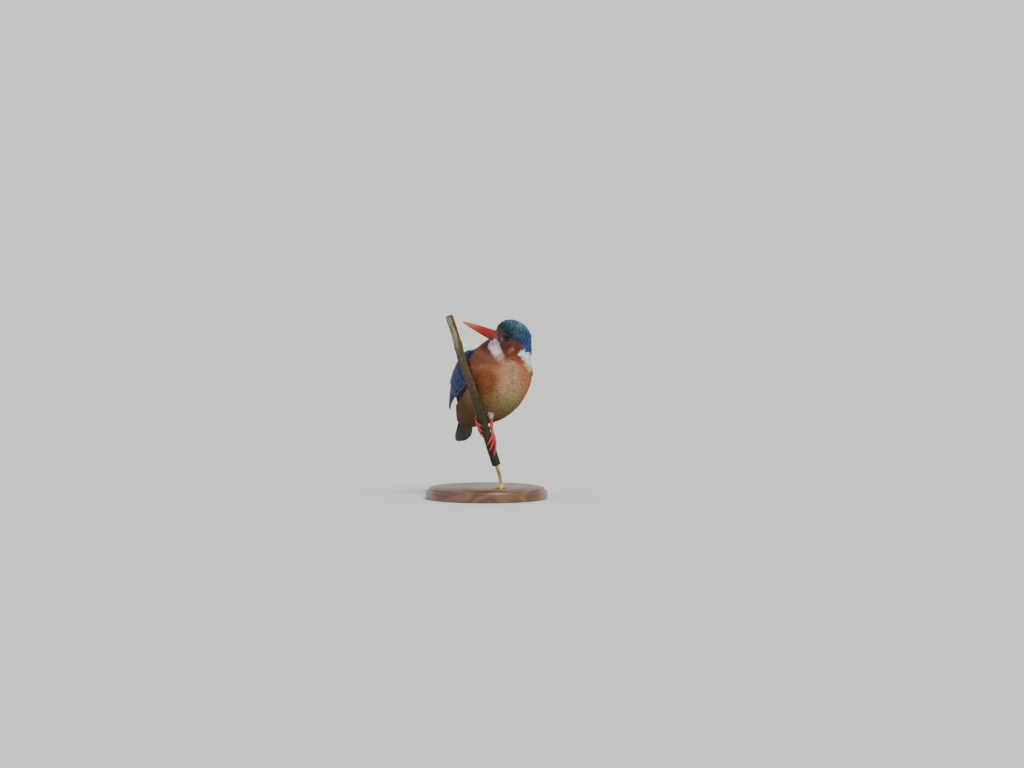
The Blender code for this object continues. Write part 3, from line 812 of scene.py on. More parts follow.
def feather_material(name, roughness, barbs, tint=(0.02, 0.015, 0.015), bands=None,
                     under_share=0.5, rim=0.0):
    """Vane colour from the plumage, streaked by barbs. The tint darkens it by under_share below
    and by rim at its edges. bands is the stretch of a blue vane that isn't tinted over."""
    material, wire, shader = new_material(name, roughness, specular=0.25)
    colour = wire.colours("plumage")
    under = wire.numbers("under")
    uv = wire.node("ShaderNodeUVMap", {"uv_map": "vane"})
    axes = uv.node("ShaderNodeSeparateXYZ", None, {0: uv})
    t, u = axes, Wire(wire.tree, axes.socket.node.outputs[1])
    off = wire.math("ABSOLUTE", u - 0.5)
    streak = ((t * barbs - off * barbs) * TAU).sine()
    shaft = 1 - off.rise(0.02, 0.07)
    shade = streak * 0.08 + 0.08 + shaft * 0.1 + off.rise(0.45, 0.49) * rim
    if bands is not None:
        low, high = bands
        band = t.rise(low - 0.05, low + 0.02) * (1 - t.rise(high, high + 0.05))
        red = colour.node("ShaderNodeSeparateColor", None, {"Color": colour})
        blue = Wire(wire.tree, red.socket.node.outputs[2])
        plain = 1 - (blue - red).rise(0.01, 0.04)
        colour = band.math("MAXIMUM", band, plain).mix(tint, colour)
    colour = shade.mix(colour, tint)
    colour = (under * under_share).mix(colour, tint)
    paint(shader, {"Base Color": colour}, streak * 0.5 + shaft, 0.05 * MM)
    return material


def tract(name, wanted, spacing, slenderness, fray, rows, stand, seed, material,
          notch=0.07, axes=TRUNK):
    """One tract of contour feathers over the skin, joined in one mesh. spacing is a share of
    the feathers' length, fray the notches in a tip, and stand its rise in coat depths."""
    rng = np.random.default_rng(seed)
    roots = scatter(skin_form, wanted, lambda p: feather_size(p) * spacing, rng)
    length = feather_size(roots) * rng.uniform(0.85, 1.15, len(roots))
    ways = lie_of_coat(roots)
    swing = rng.normal(0.0, 0.13, (len(roots), 3))
    ways = ways + swing
    places, along, normals = walk_skin(skin_tree, roots, ways, length, rows)
    depth = coat_depth(roots)
    t = np.linspace(0.0, 1.0, rows + 1)[None, :]
    lift = rng.uniform(-0.06, 0.08, len(roots))[:, None] * depth[:, None] * t
    rise = depth[:, None] * (0.1 + stand * (1.0 - (1.0 - t) ** 1.7)) + lift
    rise = rise + raised(roots)[:, None] * t**1.5 * rng.uniform(0.7, 1.2, (len(roots), 1))
    width = length / slenderness
    vanes = vane_points(places, along, normals, width, rise, 0.08 * width, fray * 2 + 1,
                        contour_outline, notch, rng)
    seen = places[:, (rows * 2) // 3]
    colour = plumage(seen) * rng.normal(1.0, 0.07, (len(roots), 1))
    shade = 0.72 + 0.28 * ease(0.1, 0.75, t)
    colours = colour[:, None, None, :] * shade[..., None, None]
    colours = np.broadcast_to(colours, vanes.shape)
    faces, upper = vane_faces(rows, fray * 2)
    piece = joined_feathers(name, vanes, faces, upper, bake_place(axes, roots), colours, material)
    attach(piece, "root")
    return piece


def raised(points):
    """How far feather tips stand off the coat, in millimetres: over the brow and nape."""
    head = local_mm(HEAD, points)
    brow = ease(5.5, 9.5, head[:, 0]) * ease(1.5, 4.0, head[:, 2]) * ease(9.5, 6.0, head[:, 2])
    nape = ease(-7.0, -12.0, head[:, 0]) * ease(-2.0, 3.0, head[:, 2])
    return 0.8 * brow + 0.5 * nape


def clear_of_parts(points):
    """False under the folded wings, on the eyeballs and inside the bill's root."""
    head = local_mm(HEAD, points)
    eye = mirrored(head) - EYE_AT
    bill = (head[:, 0] > 11.5) & (np.abs(head[:, 1]) < 3.0) & (np.abs(head[:, 2] + 2.6) < 3.2)
    return (under_wing(points, -0.02) < 0.5) & (np.linalg.norm(eye, axis=1) > EYE_CLEAR) & ~bill


def tract_area(head, blue, breast=None):
    """A test for points of one tract: on the head or not, blue or not, the breast or not."""
    def wanted(points):
        inside = clear_of_parts(points) & ((above_neck(points) > -NECK_DROP) == head)
        inside &= (blue_share(points) > BLUE_FROM) == blue
        if breast is not None:
            inside &= (local_mm(TRUNK, points)[:, 0] > BREAST_FROM) == breast
        return inside

    return wanted


def build_body_feathers():
    soft = feather_material("soft_vanes", 0.75, 5.0, (0.1, 0.045, 0.025), under_share=0.3)
    face = feather_material("face_vanes", 0.7, 3.0, (0.06, 0.03, 0.025), under_share=0.3)
    crown = feather_material("crown_vanes", 0.5, 4.0, (0.008, 0.012, 0.022), (0.78, 0.93))
    back = feather_material("back_vanes", 0.5, 5.0, (0.01, 0.02, 0.06))
    tract("crown_feathers", tract_area(head=True, blue=True), spacing=0.2, slenderness=2.3,
          fray=3, rows=4, stand=0.95, seed=11, material=crown, axes=HEAD)
    tract("face_feathers", tract_area(head=True, blue=False), spacing=0.25, slenderness=2.2,
          fray=3, rows=3, stand=0.9, seed=12, material=face, axes=HEAD)
    for name, breast, seed in (("breast_feathers", True, 13), ("belly_feathers", False, 14)):
        tract(name, tract_area(head=False, blue=False, breast=breast), spacing=0.17,
              slenderness=2.8, fray=5, rows=3, stand=0.94, seed=seed, material=soft,
              notch=0.13)
    tract("back_feathers", tract_area(head=False, blue=True), spacing=0.19, slenderness=2.1,
          fray=3, rows=4, stand=0.94, seed=15, material=back)


build_body_feathers()


TUFT_WHORLS = 4
TUFT_AROUND = 14
TUFT_LENGTH = 2.8
TUFT_WIDTH = 1.3
TUFT_STEP = 1.1
TUFT_TOP = -2.6


def build_thigh_tufts():
    """Short whitish feathers in whorls round the top of each leg, pointing down it."""
    rng = np.random.default_rng(16)
    material = feather_material("thigh_vanes", 0.8, 3.0, (0.1, 0.06, 0.04), under_share=0.3)
    vanes, roots = [], []
    for label in ("left", "right"):
        top, way = leg_line(label)
        first = unit(np.cross(way, (1.0, 0.0, 0.0)))
        second = np.cross(way, first)
        for k in range(TUFT_WHORLS):
            turn = (np.arange(TUFT_AROUND) + 0.5 * (k % 2)) * TAU / TUFT_AROUND
            out = np.cos(turn)[:, None] * first + np.sin(turn)[:, None] * second
            t = np.linspace(0.0, 1.0, 5)[None, :, None]
            start = TUFT_TOP + TUFT_STEP * k + rng.uniform(-0.3, 0.3, (TUFT_AROUND, 1, 1))
            down = start + TUFT_LENGTH * t
            reach = np.maximum(2.5 - 0.3 * (down - TUFT_TOP), 1.05) + 0.25 * t
            places = top + (way * down + out[:, None, :] * reach) * MM
            along = unit(np.gradient(places, axis=1))
            normals = unit(np.cross(np.cross(along, out[:, None, :]), along))
            wide = np.full(TUFT_AROUND, TUFT_WIDTH)
            flat = np.zeros(places.shape[:2])
            vanes.append(vane_points(places, along, normals, wide, flat, 0.1 * wide, 5,
                                     contour_outline, 0.08, rng))
            roots.append(places[:, 0])
    vanes, roots = np.concatenate(vanes), np.concatenate(roots)
    faces, upper = vane_faces(4, 4)
    shade = rng.normal(1.0, 0.08, (len(vanes), 1, 1, 1))
    piece = joined_feathers("thigh_tufts", vanes, faces, upper,
                            bake_place(TRUNK, roots),
                            np.broadcast_to(PLUMAGE["thigh"] * shade, vanes.shape), material)
    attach(piece, "root")


build_thigh_tufts()

# ---------------------------------------------------------------- Wings
# Each folded wing carries ten primaries, ten secondaries and five tertials, stacked with the
# inner feathers on top, and over their roots three sets of coverts, violet-blue with an azure
# spot at each tip. Bright scapulars lie along its upper edge.

AZURE = linear((58, 96, 160))
VIOLET = linear((38, 42, 82))
QUILL_BLACK = linear((26, 28, 44))
EDGE_BLUE = linear((50, 58, 118))
SCAPULAR_BLUE = linear((32, 92, 200))


def run_of(places, normals):
    """The way midlines run at each of their places, square to the normals there."""
    along = np.gradient(places, axis=1)
    along -= normals * (along * normals).sum(-1, keepdims=True)
    return unit(along)


def wing_midlines(side, starts, ends, rows):
    """Midlines over the wing between places given as (share along, share up)."""
    t = np.linspace(0.0, 1.0, rows + 1)[None, :]
    s = np.clip(starts[:, :1] * (1 - t) + ends[:, :1] * t, 0.005, 0.99)
    up = starts[:, 1:] * (1 - t) + ends[:, 1:] * t
    lower, upper = wing_edges(s.ravel())
    angle = lower + (upper - lower) * up.ravel()
    nothing = np.zeros(angle.shape)
    places = wing_points(side, s.ravel(), angle, nothing)
    normals = unit(wing_points(side, s.ravel(), angle, nothing + 1.0) - places)
    shape = (len(starts), rows + 1, 3)
    places, normals = places.reshape(shape), normals.reshape(shape)
    return places, run_of(places, normals), normals


def blade_outline(t):
    """Half-width of a flight feather along it: parallel sides and a rounded tip."""
    tip = np.sqrt(np.clip(1.0 - (np.maximum(t - 0.86, 0.0) / 0.145) ** 2, 0.0, 1.0))
    return (0.5 + 0.5 * ease(0.0, 0.25, t)) * np.maximum(tip, 0.12)


def row_of(count, s_root, s_tip, up_low, up_high, fan=0.0):
    """Starts and ends of a row of feathers, from the wing's lower edge to its upper one."""
    j = np.linspace(0.0, 1.0, count)
    up = up_low + (up_high - up_low) * j
    starts = np.stack([np.interp(j, [0, 1], s_root), up], -1)
    ends = np.stack([np.interp(j, [0, 1], s_tip), up + fan * (0.5 - up)], -1)
    return starts, ends


def lay_wing_set(name, side, sets, rows, columns, outline, fray, colour_of, material, seed,
                 blunt=0.5):
    """Rows of feathers over one wing, joined in one mesh. Each set gives a row's starts and
    ends, width, its lift at the root and tip in millimetres, and how its stack rises."""
    rng = np.random.default_rng(seed)
    t = np.linspace(0.0, 1.0, rows + 1)[None, :]
    vanes, colours, roots = [], [], []
    for starts, ends, width, lift_root, lift_tip, stack in sets:
        starts = starts + rng.normal(0.0, 0.006, starts.shape)
        ends = ends + rng.normal(0.0, 0.008, ends.shape)
        places, along, normals = wing_midlines(side, starts, ends, rows)
        j = np.linspace(0.0, 1.0, len(starts))[:, None]
        rise = lift_root + (lift_tip - lift_root) * t + stack * j
        wide = np.full(len(starts), width)
        made = vane_points(places, along, normals, wide, rise, 0.09 * wide, columns, outline,
                           fray, rng, blunt)
        vanes.append(made)
        u = np.linspace(-1.0, 1.0, columns)[None, None, :] * -side
        shade = colour_of(*np.broadcast_arrays(t[:, :, None], u))
        shade = shade * rng.normal(1.0, 0.06, (len(starts), 1, 1, 1))
        colours.append(np.broadcast_to(shade, made.shape))
        roots.append(places[:, 0])
    faces, upper = vane_faces(rows, columns - 1)
    piece = joined_feathers(name, np.concatenate(vanes), faces, upper,
                            bake_place(TRUNK, np.concatenate(roots)),
                            np.maximum(np.concatenate(colours), 0.0), material)
    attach(piece, "root")
    return piece


def flight_colour(t, u):
    """Blackish vanes edged in blue, most on the outer web."""
    edge = np.maximum(ease(-0.1, 0.8, u), 0.7 * ease(0.5, 1.0, -u))[..., None]
    return QUILL_BLACK + (EDGE_BLUE - QUILL_BLACK) * edge * (0.35 + 0.65 * t[..., None])


def covert_colour(t, u):
    """Violet-blue vanes with an azure spot at the tip."""
    spot = (ease(0.76, 0.9, t) * (1.0 - ease(0.15, 0.6, np.abs(u))))[..., None]
    return VIOLET + (AZURE - VIOLET) * spot * 0.7


def scapular_colour(t, u):
    """Vanes that brighten from violet-blue at the root to the back's blue at the tip."""
    bright = ease(0.3, 0.9, t)[..., None]
    return VIOLET + (SCAPULAR_BLUE - VIOLET) * bright


def build_wings():
    vane = feather_material("flight_vanes", 0.45, 26.0, (0.006, 0.006, 0.012), rim=0.7)
    covert = feather_material("covert_vanes", 0.5, 7.0, (0.006, 0.006, 0.02), rim=0.4)
    for side, label in ((1, "left"), (-1, "right")):
        primaries = row_of(10, (0.34, 0.3), (0.9, 0.97), 0.05, 0.42, 0.25)
        secondaries = row_of(10, (0.3, 0.34), (0.86, 0.72), 0.36, 0.84, 0.25)
        tertials = row_of(5, (0.34, 0.3), (0.74, 0.56), 0.78, 0.98, 0.1)
        quills = lay_wing_set(
            "flight_feathers_" + label, side,
            [(*primaries, 3.4, 0.3, 0.7, 0.6), (*secondaries, 3.8, 0.8, 1.2, 0.5),
             (*tertials, 3.4, 1.3, 1.5, 0.35)],
            rows=16, columns=7, outline=blade_outline, fray=0.0, colour_of=flight_colour,
            material=vane, seed=21, blunt=0.3)
        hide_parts("wing_" + label)
        sets = [
            (*row_of(13, (0.3, 0.24), (0.5, 0.42), 0.04, 0.94), 4.0, 1.2, 1.8, 0.25),
            (*row_of(15, (0.2, 0.17), (0.37, 0.32), 0.03, 0.96), 3.4, 1.2, 2.0, 0.2),
        ]
        for k in range(5):
            s = 0.02 + 0.035 * k
            sets.insert(0, (*row_of(15 - k % 2, (s + 0.02, s), (s + 0.13, s + 0.11),
                                    0.02 + 0.03 * (k % 2), 0.98), 2.8, 1.0, 2.0, 0.1))
        coverts = lay_wing_set("wing_coverts_" + label, side, sets, rows=7, columns=9,
                               outline=contour_outline, fray=0.0, colour_of=covert_colour,
                               material=covert, seed=23)
        sets = [(*row_of(5, (s + 0.03, s), (s + 0.2, s + 0.17), 0.86, 1.12), 3.6, 1.1, 2.1, 0.25)
                for s in 0.06 * np.arange(7)]
        scapulars = lay_wing_set("scapulars_" + label, side, sets, rows=6, columns=9,
                                 outline=contour_outline, fray=0.02,
                                 colour_of=scapular_colour, material=covert, seed=25)


build_wings()

# ---------------------------------------------------------------- Tail
# Twelve short rectrices in a closed, slightly arched fan: the middle pair lies on top, dark
# ultramarine above and sooty below, the olive tone of the underside partly painted shade.

TAIL_PITCH = 71.0
TAIL_LENGTH = 27.5
TAIL_HALF_WIDTH = 5.8
TAIL_ARCH = 1.5
TAIL_FEATHERS = 12
TAIL_BLUE = linear((30, 52, 128))
TAIL_SOOT_AND_SHADE = linear((102, 106, 62))

TAIL = heading_frame(TRUNK @ (Vector(TAIL_ROOT) * MM) / MM, BODY_HEADING + 180.0, -TAIL_PITCH)


def tail_set(count, half_width, x_root, x_tip, width, height, rows, columns, outline, rng):
    """Vanes side by side over the tail, the middle ones on top of the outer ones."""
    j = np.linspace(-1.0, 1.0, count)
    t = np.linspace(0.0, 1.0, rows + 1)[None, :]
    reach = (x_tip * (1.0 - 0.12 * np.abs(j) ** 3))[:, None]
    x = x_root + (reach - x_root) * t
    y = j[:, None] * half_width * (0.6 + 0.4 * np.clip(x / TAIL_LENGTH, 0, 1))
    z = TAIL_ARCH * (1.0 - (y / (TAIL_HALF_WIDTH + 1.5)) ** 2)
    z = z + height - math.copysign(0.8, height) * np.abs(j[:, None])
    places = world_m(TAIL, np.stack([x, y, z], -1))
    normals = np.stack([np.zeros_like(x), 0.4 * y / TAIL_HALF_WIDTH, np.ones_like(x)], -1)
    normals = unit(normals * math.copysign(1.0, height)) @ np.array(TAIL.to_3x3()).T
    wide = np.full(count, width)
    vanes = vane_points(places, run_of(places, normals), normals, wide, np.zeros_like(x),
                        0.1 * wide, columns, outline, 0.0, rng, 0.2)
    return vanes, places[:, 0]


def blunt_outline(t):
    """Half-width of a tail feather along it: a flight feather's, cut blunt at the tip."""
    return np.maximum(blade_outline(t), 0.62)


def build_tail():
    rng = np.random.default_rng(31)
    vanes, roots = tail_set(TAIL_FEATHERS, TAIL_HALF_WIDTH, x_root=1.0, x_tip=TAIL_LENGTH,
                            width=4.0, height=0.25, rows=14, columns=7,
                            outline=blunt_outline, rng=rng)
    faces, upper = vane_faces(14, 6)
    # The underside: sooty, its olive tone partly painted shade.
    material = feather_material("tail_vanes", 0.5, 22.0, tuple(TAIL_SOOT_AND_SHADE * 0.6), under_share=0.9)
    piece = joined_feathers("tail_feathers", vanes, faces, upper,
                            bake_place(TAIL, roots),
                            np.broadcast_to(TAIL_BLUE, vanes.shape), material)
    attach(piece, "root")
    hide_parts("tail")
    coverts = feather_material("tail_covert_vanes", 0.6, 7.0)
    # The under tail coverts take the vent's rufous, darkened with painted shade.
    for name, colour, height, slot in (
            ("tail_coverts_above", PLUMAGE["back"], 1.3, "blue_plumage"),
            ("tail_coverts_below", PLUMAGE["vent_with_painted_shade"], -1.5, "rufous_plumage")):
        sets = [tail_set(7 + k % 2, 4.4, x_root=-3.0 + 2.6 * k, x_tip=5.5 + 2.9 * k,
                         width=3.4, height=height * (1.15 - 0.12 * k), rows=5, columns=9,
                         outline=contour_outline, rng=rng)
                for k in range(4)]
        vanes = np.concatenate([made for made, _ in sets])
        roots = np.concatenate([places for _, places in sets])
        faces, upper = vane_faces(5, 8)
        shade = rng.normal(1.0, 0.08, (len(vanes), 1, 1, 1))
        piece = joined_feathers(name, vanes, faces, upper,
                                bake_place(TAIL, roots),
                                np.broadcast_to(colour * shade, vanes.shape), coverts)
        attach(piece, "root")


build_tail()

# ---------------------------------------------------------------- Eyes
# Dark brown glass eyes, sunk in the skin of the face and domed a little in front of the
# pupil. Round each lies a fine beaded ring of bare skin, the lids.

PUPIL_SHARE = 0.5
CORNEA_RADIUS = 1.9
LID_RADIUS = 2.15
LID_THICK = 0.24
LID_HEIGHT = 1.42


def eye_axes(side):
    """The eye's centre, with z the way it looks."""
    at = HEAD @ (Vector((EYE_AT[0], side * EYE_AT[1], EYE_AT[2])) * MM)
    gaze = HEAD.to_3x3() @ Vector((0.2, side * 1.0, 0.04))
    return Matrix.Translation(at) @ gaze.to_track_quat("Z", "Y").to_matrix().to_4x4()


def write_numbers(mesh, name, numbers):
    """Stores numbers, one for each vertex, as an attribute of the mesh."""
    attribute = mesh.attributes.new(name, "FLOAT", "POINT")
    attribute.data.foreach_set("value", numbers)


def build_eyes():
    iris, wire, shader = new_material("eye_glass", 0.12, specular=0.05,
                                      coat_weight=0.8, coat_roughness=0.02, coat_ior=1.28)
    ring = wire.numbers("from_pupil")
    place = wire.place()
    fleck = place.noise(5000.0).rise(0.3, 0.7)
    brown = fleck.mix((0.035, 0.014, 0.008), (0.014, 0.006, 0.004))
    pupil = ring.rise(PUPIL_SHARE - 0.04, PUPIL_SHARE + 0.04)
    paint(shader, {"Base Color": pupil.mix((0.002, 0.002, 0.002), brown)})
    lid_skin, wire, shader = new_material("lid_skin", 0.55)
    place = wire.place()
    bead = place.noise(3500.0)
    paint(shader, {"Base Color": bead.mix((0.032, 0.014, 0.012), (0.012, 0.007, 0.007))}, bead,
          0.05 * MM)
    for side, label in ((1, "left"), (-1, "right")):
        axes = eye_axes(side)
        bm = bmesh.new()
        bmesh.ops.create_uvsphere(bm, u_segments=40, v_segments=28, radius=EYE_RADIUS * MM)
        share = []
        for vert in bm.verts:
            off = math.hypot(vert.co.x, vert.co.y)
            share.append(off / (EYE_RADIUS * MM) if vert.co.z > 0 else 1.0)
            if vert.co.z > 0:
                vert.co.z *= 1.0 + 0.06 * max(0.0, 1.0 - (off / (CORNEA_RADIUS * MM)) ** 2)
        bm.transform(axes)
        eye = mesh_piece("eyeball_" + label, bm, iris)
        write_numbers(eye.data, "from_pupil", share)
        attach(eye, "root")
        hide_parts("eye_" + label)
        bm = bmesh.new()
        start = bmesh.ops.create_circle(
            bm, segments=10, radius=LID_THICK * MM,
            matrix=Matrix.Translation((LID_RADIUS * MM, 0, LID_HEIGHT * MM))
            @ Matrix.Rotation(math.pi / 2, 4, "X"))
        bmesh.ops.spin(bm, geom=start["verts"] + bm.edges[:], cent=(0, 0, 0), axis=(0, 0, 1),
                       angle=TAU, steps=48, use_merge=True)
        for vert in bm.verts:
            turn = math.atan2(vert.co.y, vert.co.x)
            vert.co *= 1.0 + 0.012 * math.sin(24 * turn)
            vert.co.x *= 1.04
            vert.co.y *= 0.96
        bmesh.ops.recalc_face_normals(bm, faces=bm.faces)
        bm.transform(axes)
        lid = mesh_piece("eyelids_" + label, bm, lid_skin)
        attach(lid, "root")


build_eyes()

# ---------------------------------------------------------------- Bill
# A long dagger of red horn in two halves: a rounded ridge above, flat flanks and a fine cutting
# edge along the mouth, with a slit of a nostril near the root and a fringe of tiny feathers.
# Painted shade darkens the horn towards its root.

BILL_BASE = 8.0
BILL_LENGTH = 31.0
BILL_HALF_WIDTH = 3.4
MOUTH_BASE = -3.0
MOUTH_DROP = 1.0
MOUTH_GAP = 0.03
UPPER_DEPTH = 4.5
LOWER_DEPTH = 3.8
BILL_TAPER = 0.74
BILL_FLANK = 0.85
BILL_RIDGE = 0.9


def bill_half(up, depth):
    """One mandible through rings from root to tip, in the head's axes."""
    bm = bmesh.new()
    rings, around = [], 24
    for i in range(33):
        t = i / 32
        taper = 0.1 + 0.9 * (1.0 - t) ** BILL_TAPER if t < 1.0 else 0.04
        mouth = MOUTH_BASE + MOUTH_DROP * t
        ring = bmesh.ops.create_circle(bm, segments=around, radius=1.0)["verts"]
        for vert in ring:
            turn = math.atan2(vert.co.y, vert.co.x)
            wide, tall = math.cos(turn), math.sin(turn)
            if tall > 0:
                ridge = tall**BILL_RIDGE * (1.0 + 0.04 * tall**6)
                flank = math.copysign(abs(wide) ** BILL_FLANK, wide)
                y, z = BILL_HALF_WIDTH * taper * flank, depth * taper * ridge
            else:
                y, z = BILL_HALF_WIDTH * taper * wide, -0.12 * taper * tall
            groove = math.exp(-(((t - 0.13) / 0.06) ** 2)) * math.exp(-((tall - 0.55) / 0.16) ** 2)
            y *= 1.0 - 0.16 * groove
            vert.co = Vector((BILL_BASE + BILL_LENGTH * t, y, mouth + up * (MOUTH_GAP + z))) * MM
        rings.append(ring)
        if i:
            edges = {e for r in rings[-2:] for v in r for e in v.link_edges
                     if e.other_vert(v) in r}
            bmesh.ops.bridge_loops(bm, edges=list(edges))
    for ring in (rings[0], rings[-1]):
        edges = [e for v in ring for e in v.link_edges if e.is_boundary]
        bmesh.ops.contextual_create(bm, geom=list(set(edges)))
    bmesh.ops.recalc_face_normals(bm, faces=bm.faces)
    bm.transform(HEAD)
    return bm


def build_bill():
    material, wire, shader = new_material("red_horn", 0.38, specular=0.2, coat_weight=0.08,
                                          coat_roughness=0.25)
    place = wire.place()
    along = wire.numbers("along_bill")
    grain = place.noise(700.0, 4.0)
    red = along.rise(0.45, 1.0).mix((0.3, 0.011, 0.009), (0.6, 0.15, 0.09))
    worn = (grain.rise(0.56, 0.72) * along.rise(0.3, 0.9)) * 0.35
    red = worn.mix(red, (0.78, 0.3, 0.2))
    # Painted shade: the root third of the bill is darkened to dusky maroon.
    painted_root_shade = (1 - along.rise(0.12, 0.42)) * 0.85
    red = painted_root_shade.mix(red, grain.rise(0.35, 0.65).mix((0.1, 0.022, 0.024), (0.24, 0.06, 0.062)))
    streaks = grain.node("ShaderNodeTexNoise", None, {"Vector": place, "Scale": 2200.0})
    paint(shader, {"Base Color": red}, streaks, 0.03 * MM)
    for name, node, up, depth in (
            ("bill_upper_horn", "bill_upper", 1, UPPER_DEPTH),
            ("bill_lower_horn", "bill_lower", -1, LOWER_DEPTH)):
        piece = mesh_piece(name, bill_half(up, depth), material)
        places = np.array([v.co for v in piece.data.vertices])
        share = (local_mm(HEAD, places)[:, 0] - BILL_BASE) / BILL_LENGTH
        write_numbers(piece.data, "along_bill", share)
        piece.data.set_sharp_from_angle(angle=math.radians(50.0))
        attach(piece, "root")
        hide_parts(node)


build_bill()


def bill_outline(x, turn):
    """A place on the outside of the closed bill at x along the head, in millimetres."""
    t = (x - BILL_BASE) / BILL_LENGTH
    taper = 0.1 + 0.9 * (1.0 - t) ** BILL_TAPER
    out, up = np.cos(turn), np.sin(turn)
    depth = np.where(up > 0, UPPER_DEPTH, LOWER_DEPTH)
    y = BILL_HALF_WIDTH * taper * np.sign(out) * np.abs(out) ** BILL_FLANK
    z = MOUTH_BASE + MOUTH_DROP * t + depth * taper * np.sign(up) * np.abs(up) ** BILL_RIDGE
    return np.stack([x, y, z], -1)


FRINGE_AROUND = 96
FRINGE_ROWS = (0.0, 0.45, 0.9)
FRINGE_FROM = 9.0


def build_bill_fringe():
    """Tiny feathers in rows round the bill's root, lying forwards on the horn, longest on the
    lores."""
    rng = np.random.default_rng(17)
    rows = 4
    turn = np.tile(np.linspace(0.0, TAU, FRINGE_AROUND, endpoint=False), len(FRINGE_ROWS))
    turn = turn + rng.normal(0, 0.02, len(turn))
    edge = np.full(len(turn), FRINGE_FROM)
    for x in np.arange(FRINGE_FROM, 15.0, 0.1):
        places = world_m(HEAD, bill_outline(np.full(len(turn), x), turn))
        for i, place in enumerate(places):
            hit, normal = skin_tree.find_nearest(Vector(place))[:2]
            if (Vector(place) - hit).dot(normal) < 0.45 * MM:
                edge[i] = x
    back = np.repeat(FRINGE_ROWS, FRINGE_AROUND)
    length = rng.uniform(0.9, 1.4, len(turn)) + 1.3 * np.exp(-((np.sin(turn) - 0.1) / 0.4) ** 2)
    t = np.linspace(0.0, 1.0, rows + 1)[None, :]
    x = (edge - back)[:, None] + length[:, None] * t
    spread = turn[:, None] + 0.12 * rng.normal(0.0, 1.0, len(turn))[:, None] * t
    outline = bill_outline(x, spread)
    wider = outline + (outline - (0.0, 0.0, MOUTH_BASE)) * (0.0, 0.1, 0.1)
    places = world_m(HEAD, outline)
    normals = unit(world_m(HEAD, wider) - places)
    wide = rng.uniform(0.55, 0.75, len(turn))
    rise = 0.12 + 0.28 * back[:, None] + 0.25 * t - 0.35 * t**3
    vanes = vane_points(places, run_of(places, normals), normals, wide, rise, 0.1 * wide, 5,
                        contour_outline, 0.06, rng)
    behind = world_m(HEAD, bill_outline(edge - 1.5, turn) + (-0.5, 0.0, 0.0))
    colour = plumage(behind) * rng.normal(1.0, 0.08, (len(turn), 1))
    faces, upper = vane_faces(rows, 4)
    piece = joined_feathers("bill_fringe", vanes, faces, upper,
                            bake_place(HEAD, places[:, 0]),
                            np.broadcast_to(colour[:, None, None], vanes.shape),
                            bpy.data.materials["face_vanes"])
    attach(piece, "root")


build_bill_fringe()

# ---------------------------------------------------------------- Legs and feet
# Short legs and fine toes of scaly red skin, one skin for each leg, with dark horn claws.
# Bands of scutes cross each leg and, on the foot, each toe.

STEM_FROM_TRUNK = (-12.9, -27.4)
STEM_LEAN = (-0.31, -0.22)
GRIP_RADIUS = 3.4
SCUTE_LENGTH = 0.75
LEG_VOXEL = 0.22


def round_stem(points):
    """Distance round the perch in millimetres, so that a toe's scutes follow the toe."""
    local = points / MM - TRUNK_CENTRE
    x, y = (local[:, i] - STEM_FROM_TRUNK[i] - STEM_LEAN[i] * local[:, 2] for i in range(2))
    return np.arctan2(y, x) * GRIP_RADIUS


def build_legs():
    skin, wire, shader = new_material("scaly_red_skin", 0.45, coat_weight=0.1)
    place = wire.place()
    arc = wire.numbers("scute")
    cells = place.node("ShaderNodeTexVoronoi", None, {"Vector": place, "Scale": 1700.0})
    wave = arc * (TAU / SCUTE_LENGTH) + place.noise(900.0) * 1.5
    scutes = (1 - wave.sine().rise(0.55, 1.0)) * 0.7 + (1 - cells) * 0.3
    tone = place.noise(420.0)
    red = tone.rise(0.3, 0.7).mix((0.56, 0.05, 0.03), (0.4, 0.03, 0.022))
    red = scutes.rise(0.1, 0.75).mix((0.2, 0.02, 0.016), red)
    paint(shader, {"Base Color": red}, scutes, 0.12 * MM)
    horn, wire, shader = new_material("claw_horn", 0.28, coat_weight=0.3)
    place = wire.place()
    streak = place.noise(1200.0)
    paint(shader, {"Base Color": streak.mix((0.03, 0.015, 0.012), (0.09, 0.045, 0.03))})
    for label in ("left", "right"):
        nodes = ("leg_" + label, "foot_" + label)
        top_of_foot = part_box("foot_" + label)[1].z
        bm = merged_copy(*nodes)
        bm.normal_update()
        for vert in bm.verts:
            vert.co += vert.normal * 0.12 * MM
        leg = mesh_piece("leg_skin_" + label, grown_skin(bm, LEG_VOXEL, 3), skin)
        places = np.array([v.co for v in leg.data.vertices])
        arc = np.where(places[:, 2] > top_of_foot, places[:, 2] / MM, round_stem(places))
        write_numbers(leg.data, "scute", arc.astype(np.float32))
        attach(leg, "root")
        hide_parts(*nodes)
        claws = [f"claw_{label}_{toe}" for toe in ("inner", "middle", "outer", "hind")]
        bm = merged_copy(*claws)
        bmesh.ops.subdivide_edges(bm, edges=bm.edges, cuts=1, smooth=1.0, use_grid_fill=True)
        bmesh.ops.smooth_vert(bm, verts=bm.verts, factor=0.4, use_axis_x=True, use_axis_y=True,
                              use_axis_z=True)
        piece = mesh_piece("claws_" + label, bm, horn)
        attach(piece, "root")
        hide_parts(*claws)


build_legs()

# ---------------------------------------------------------------- Perch
# A cut length of weathered reed-like stem with ridged bark. The bark has peeled from the front
# left of its upper end and left it tan there. It is painted darker low on the stem, painted shade
# below the bird, and lighter towards the top, a painted highlight.

BARK_VOXEL = 0.38
PEEL_SIDE = (-0.45, -0.9, 0.0)
PEEL_FROM = (98.0, 114.0)


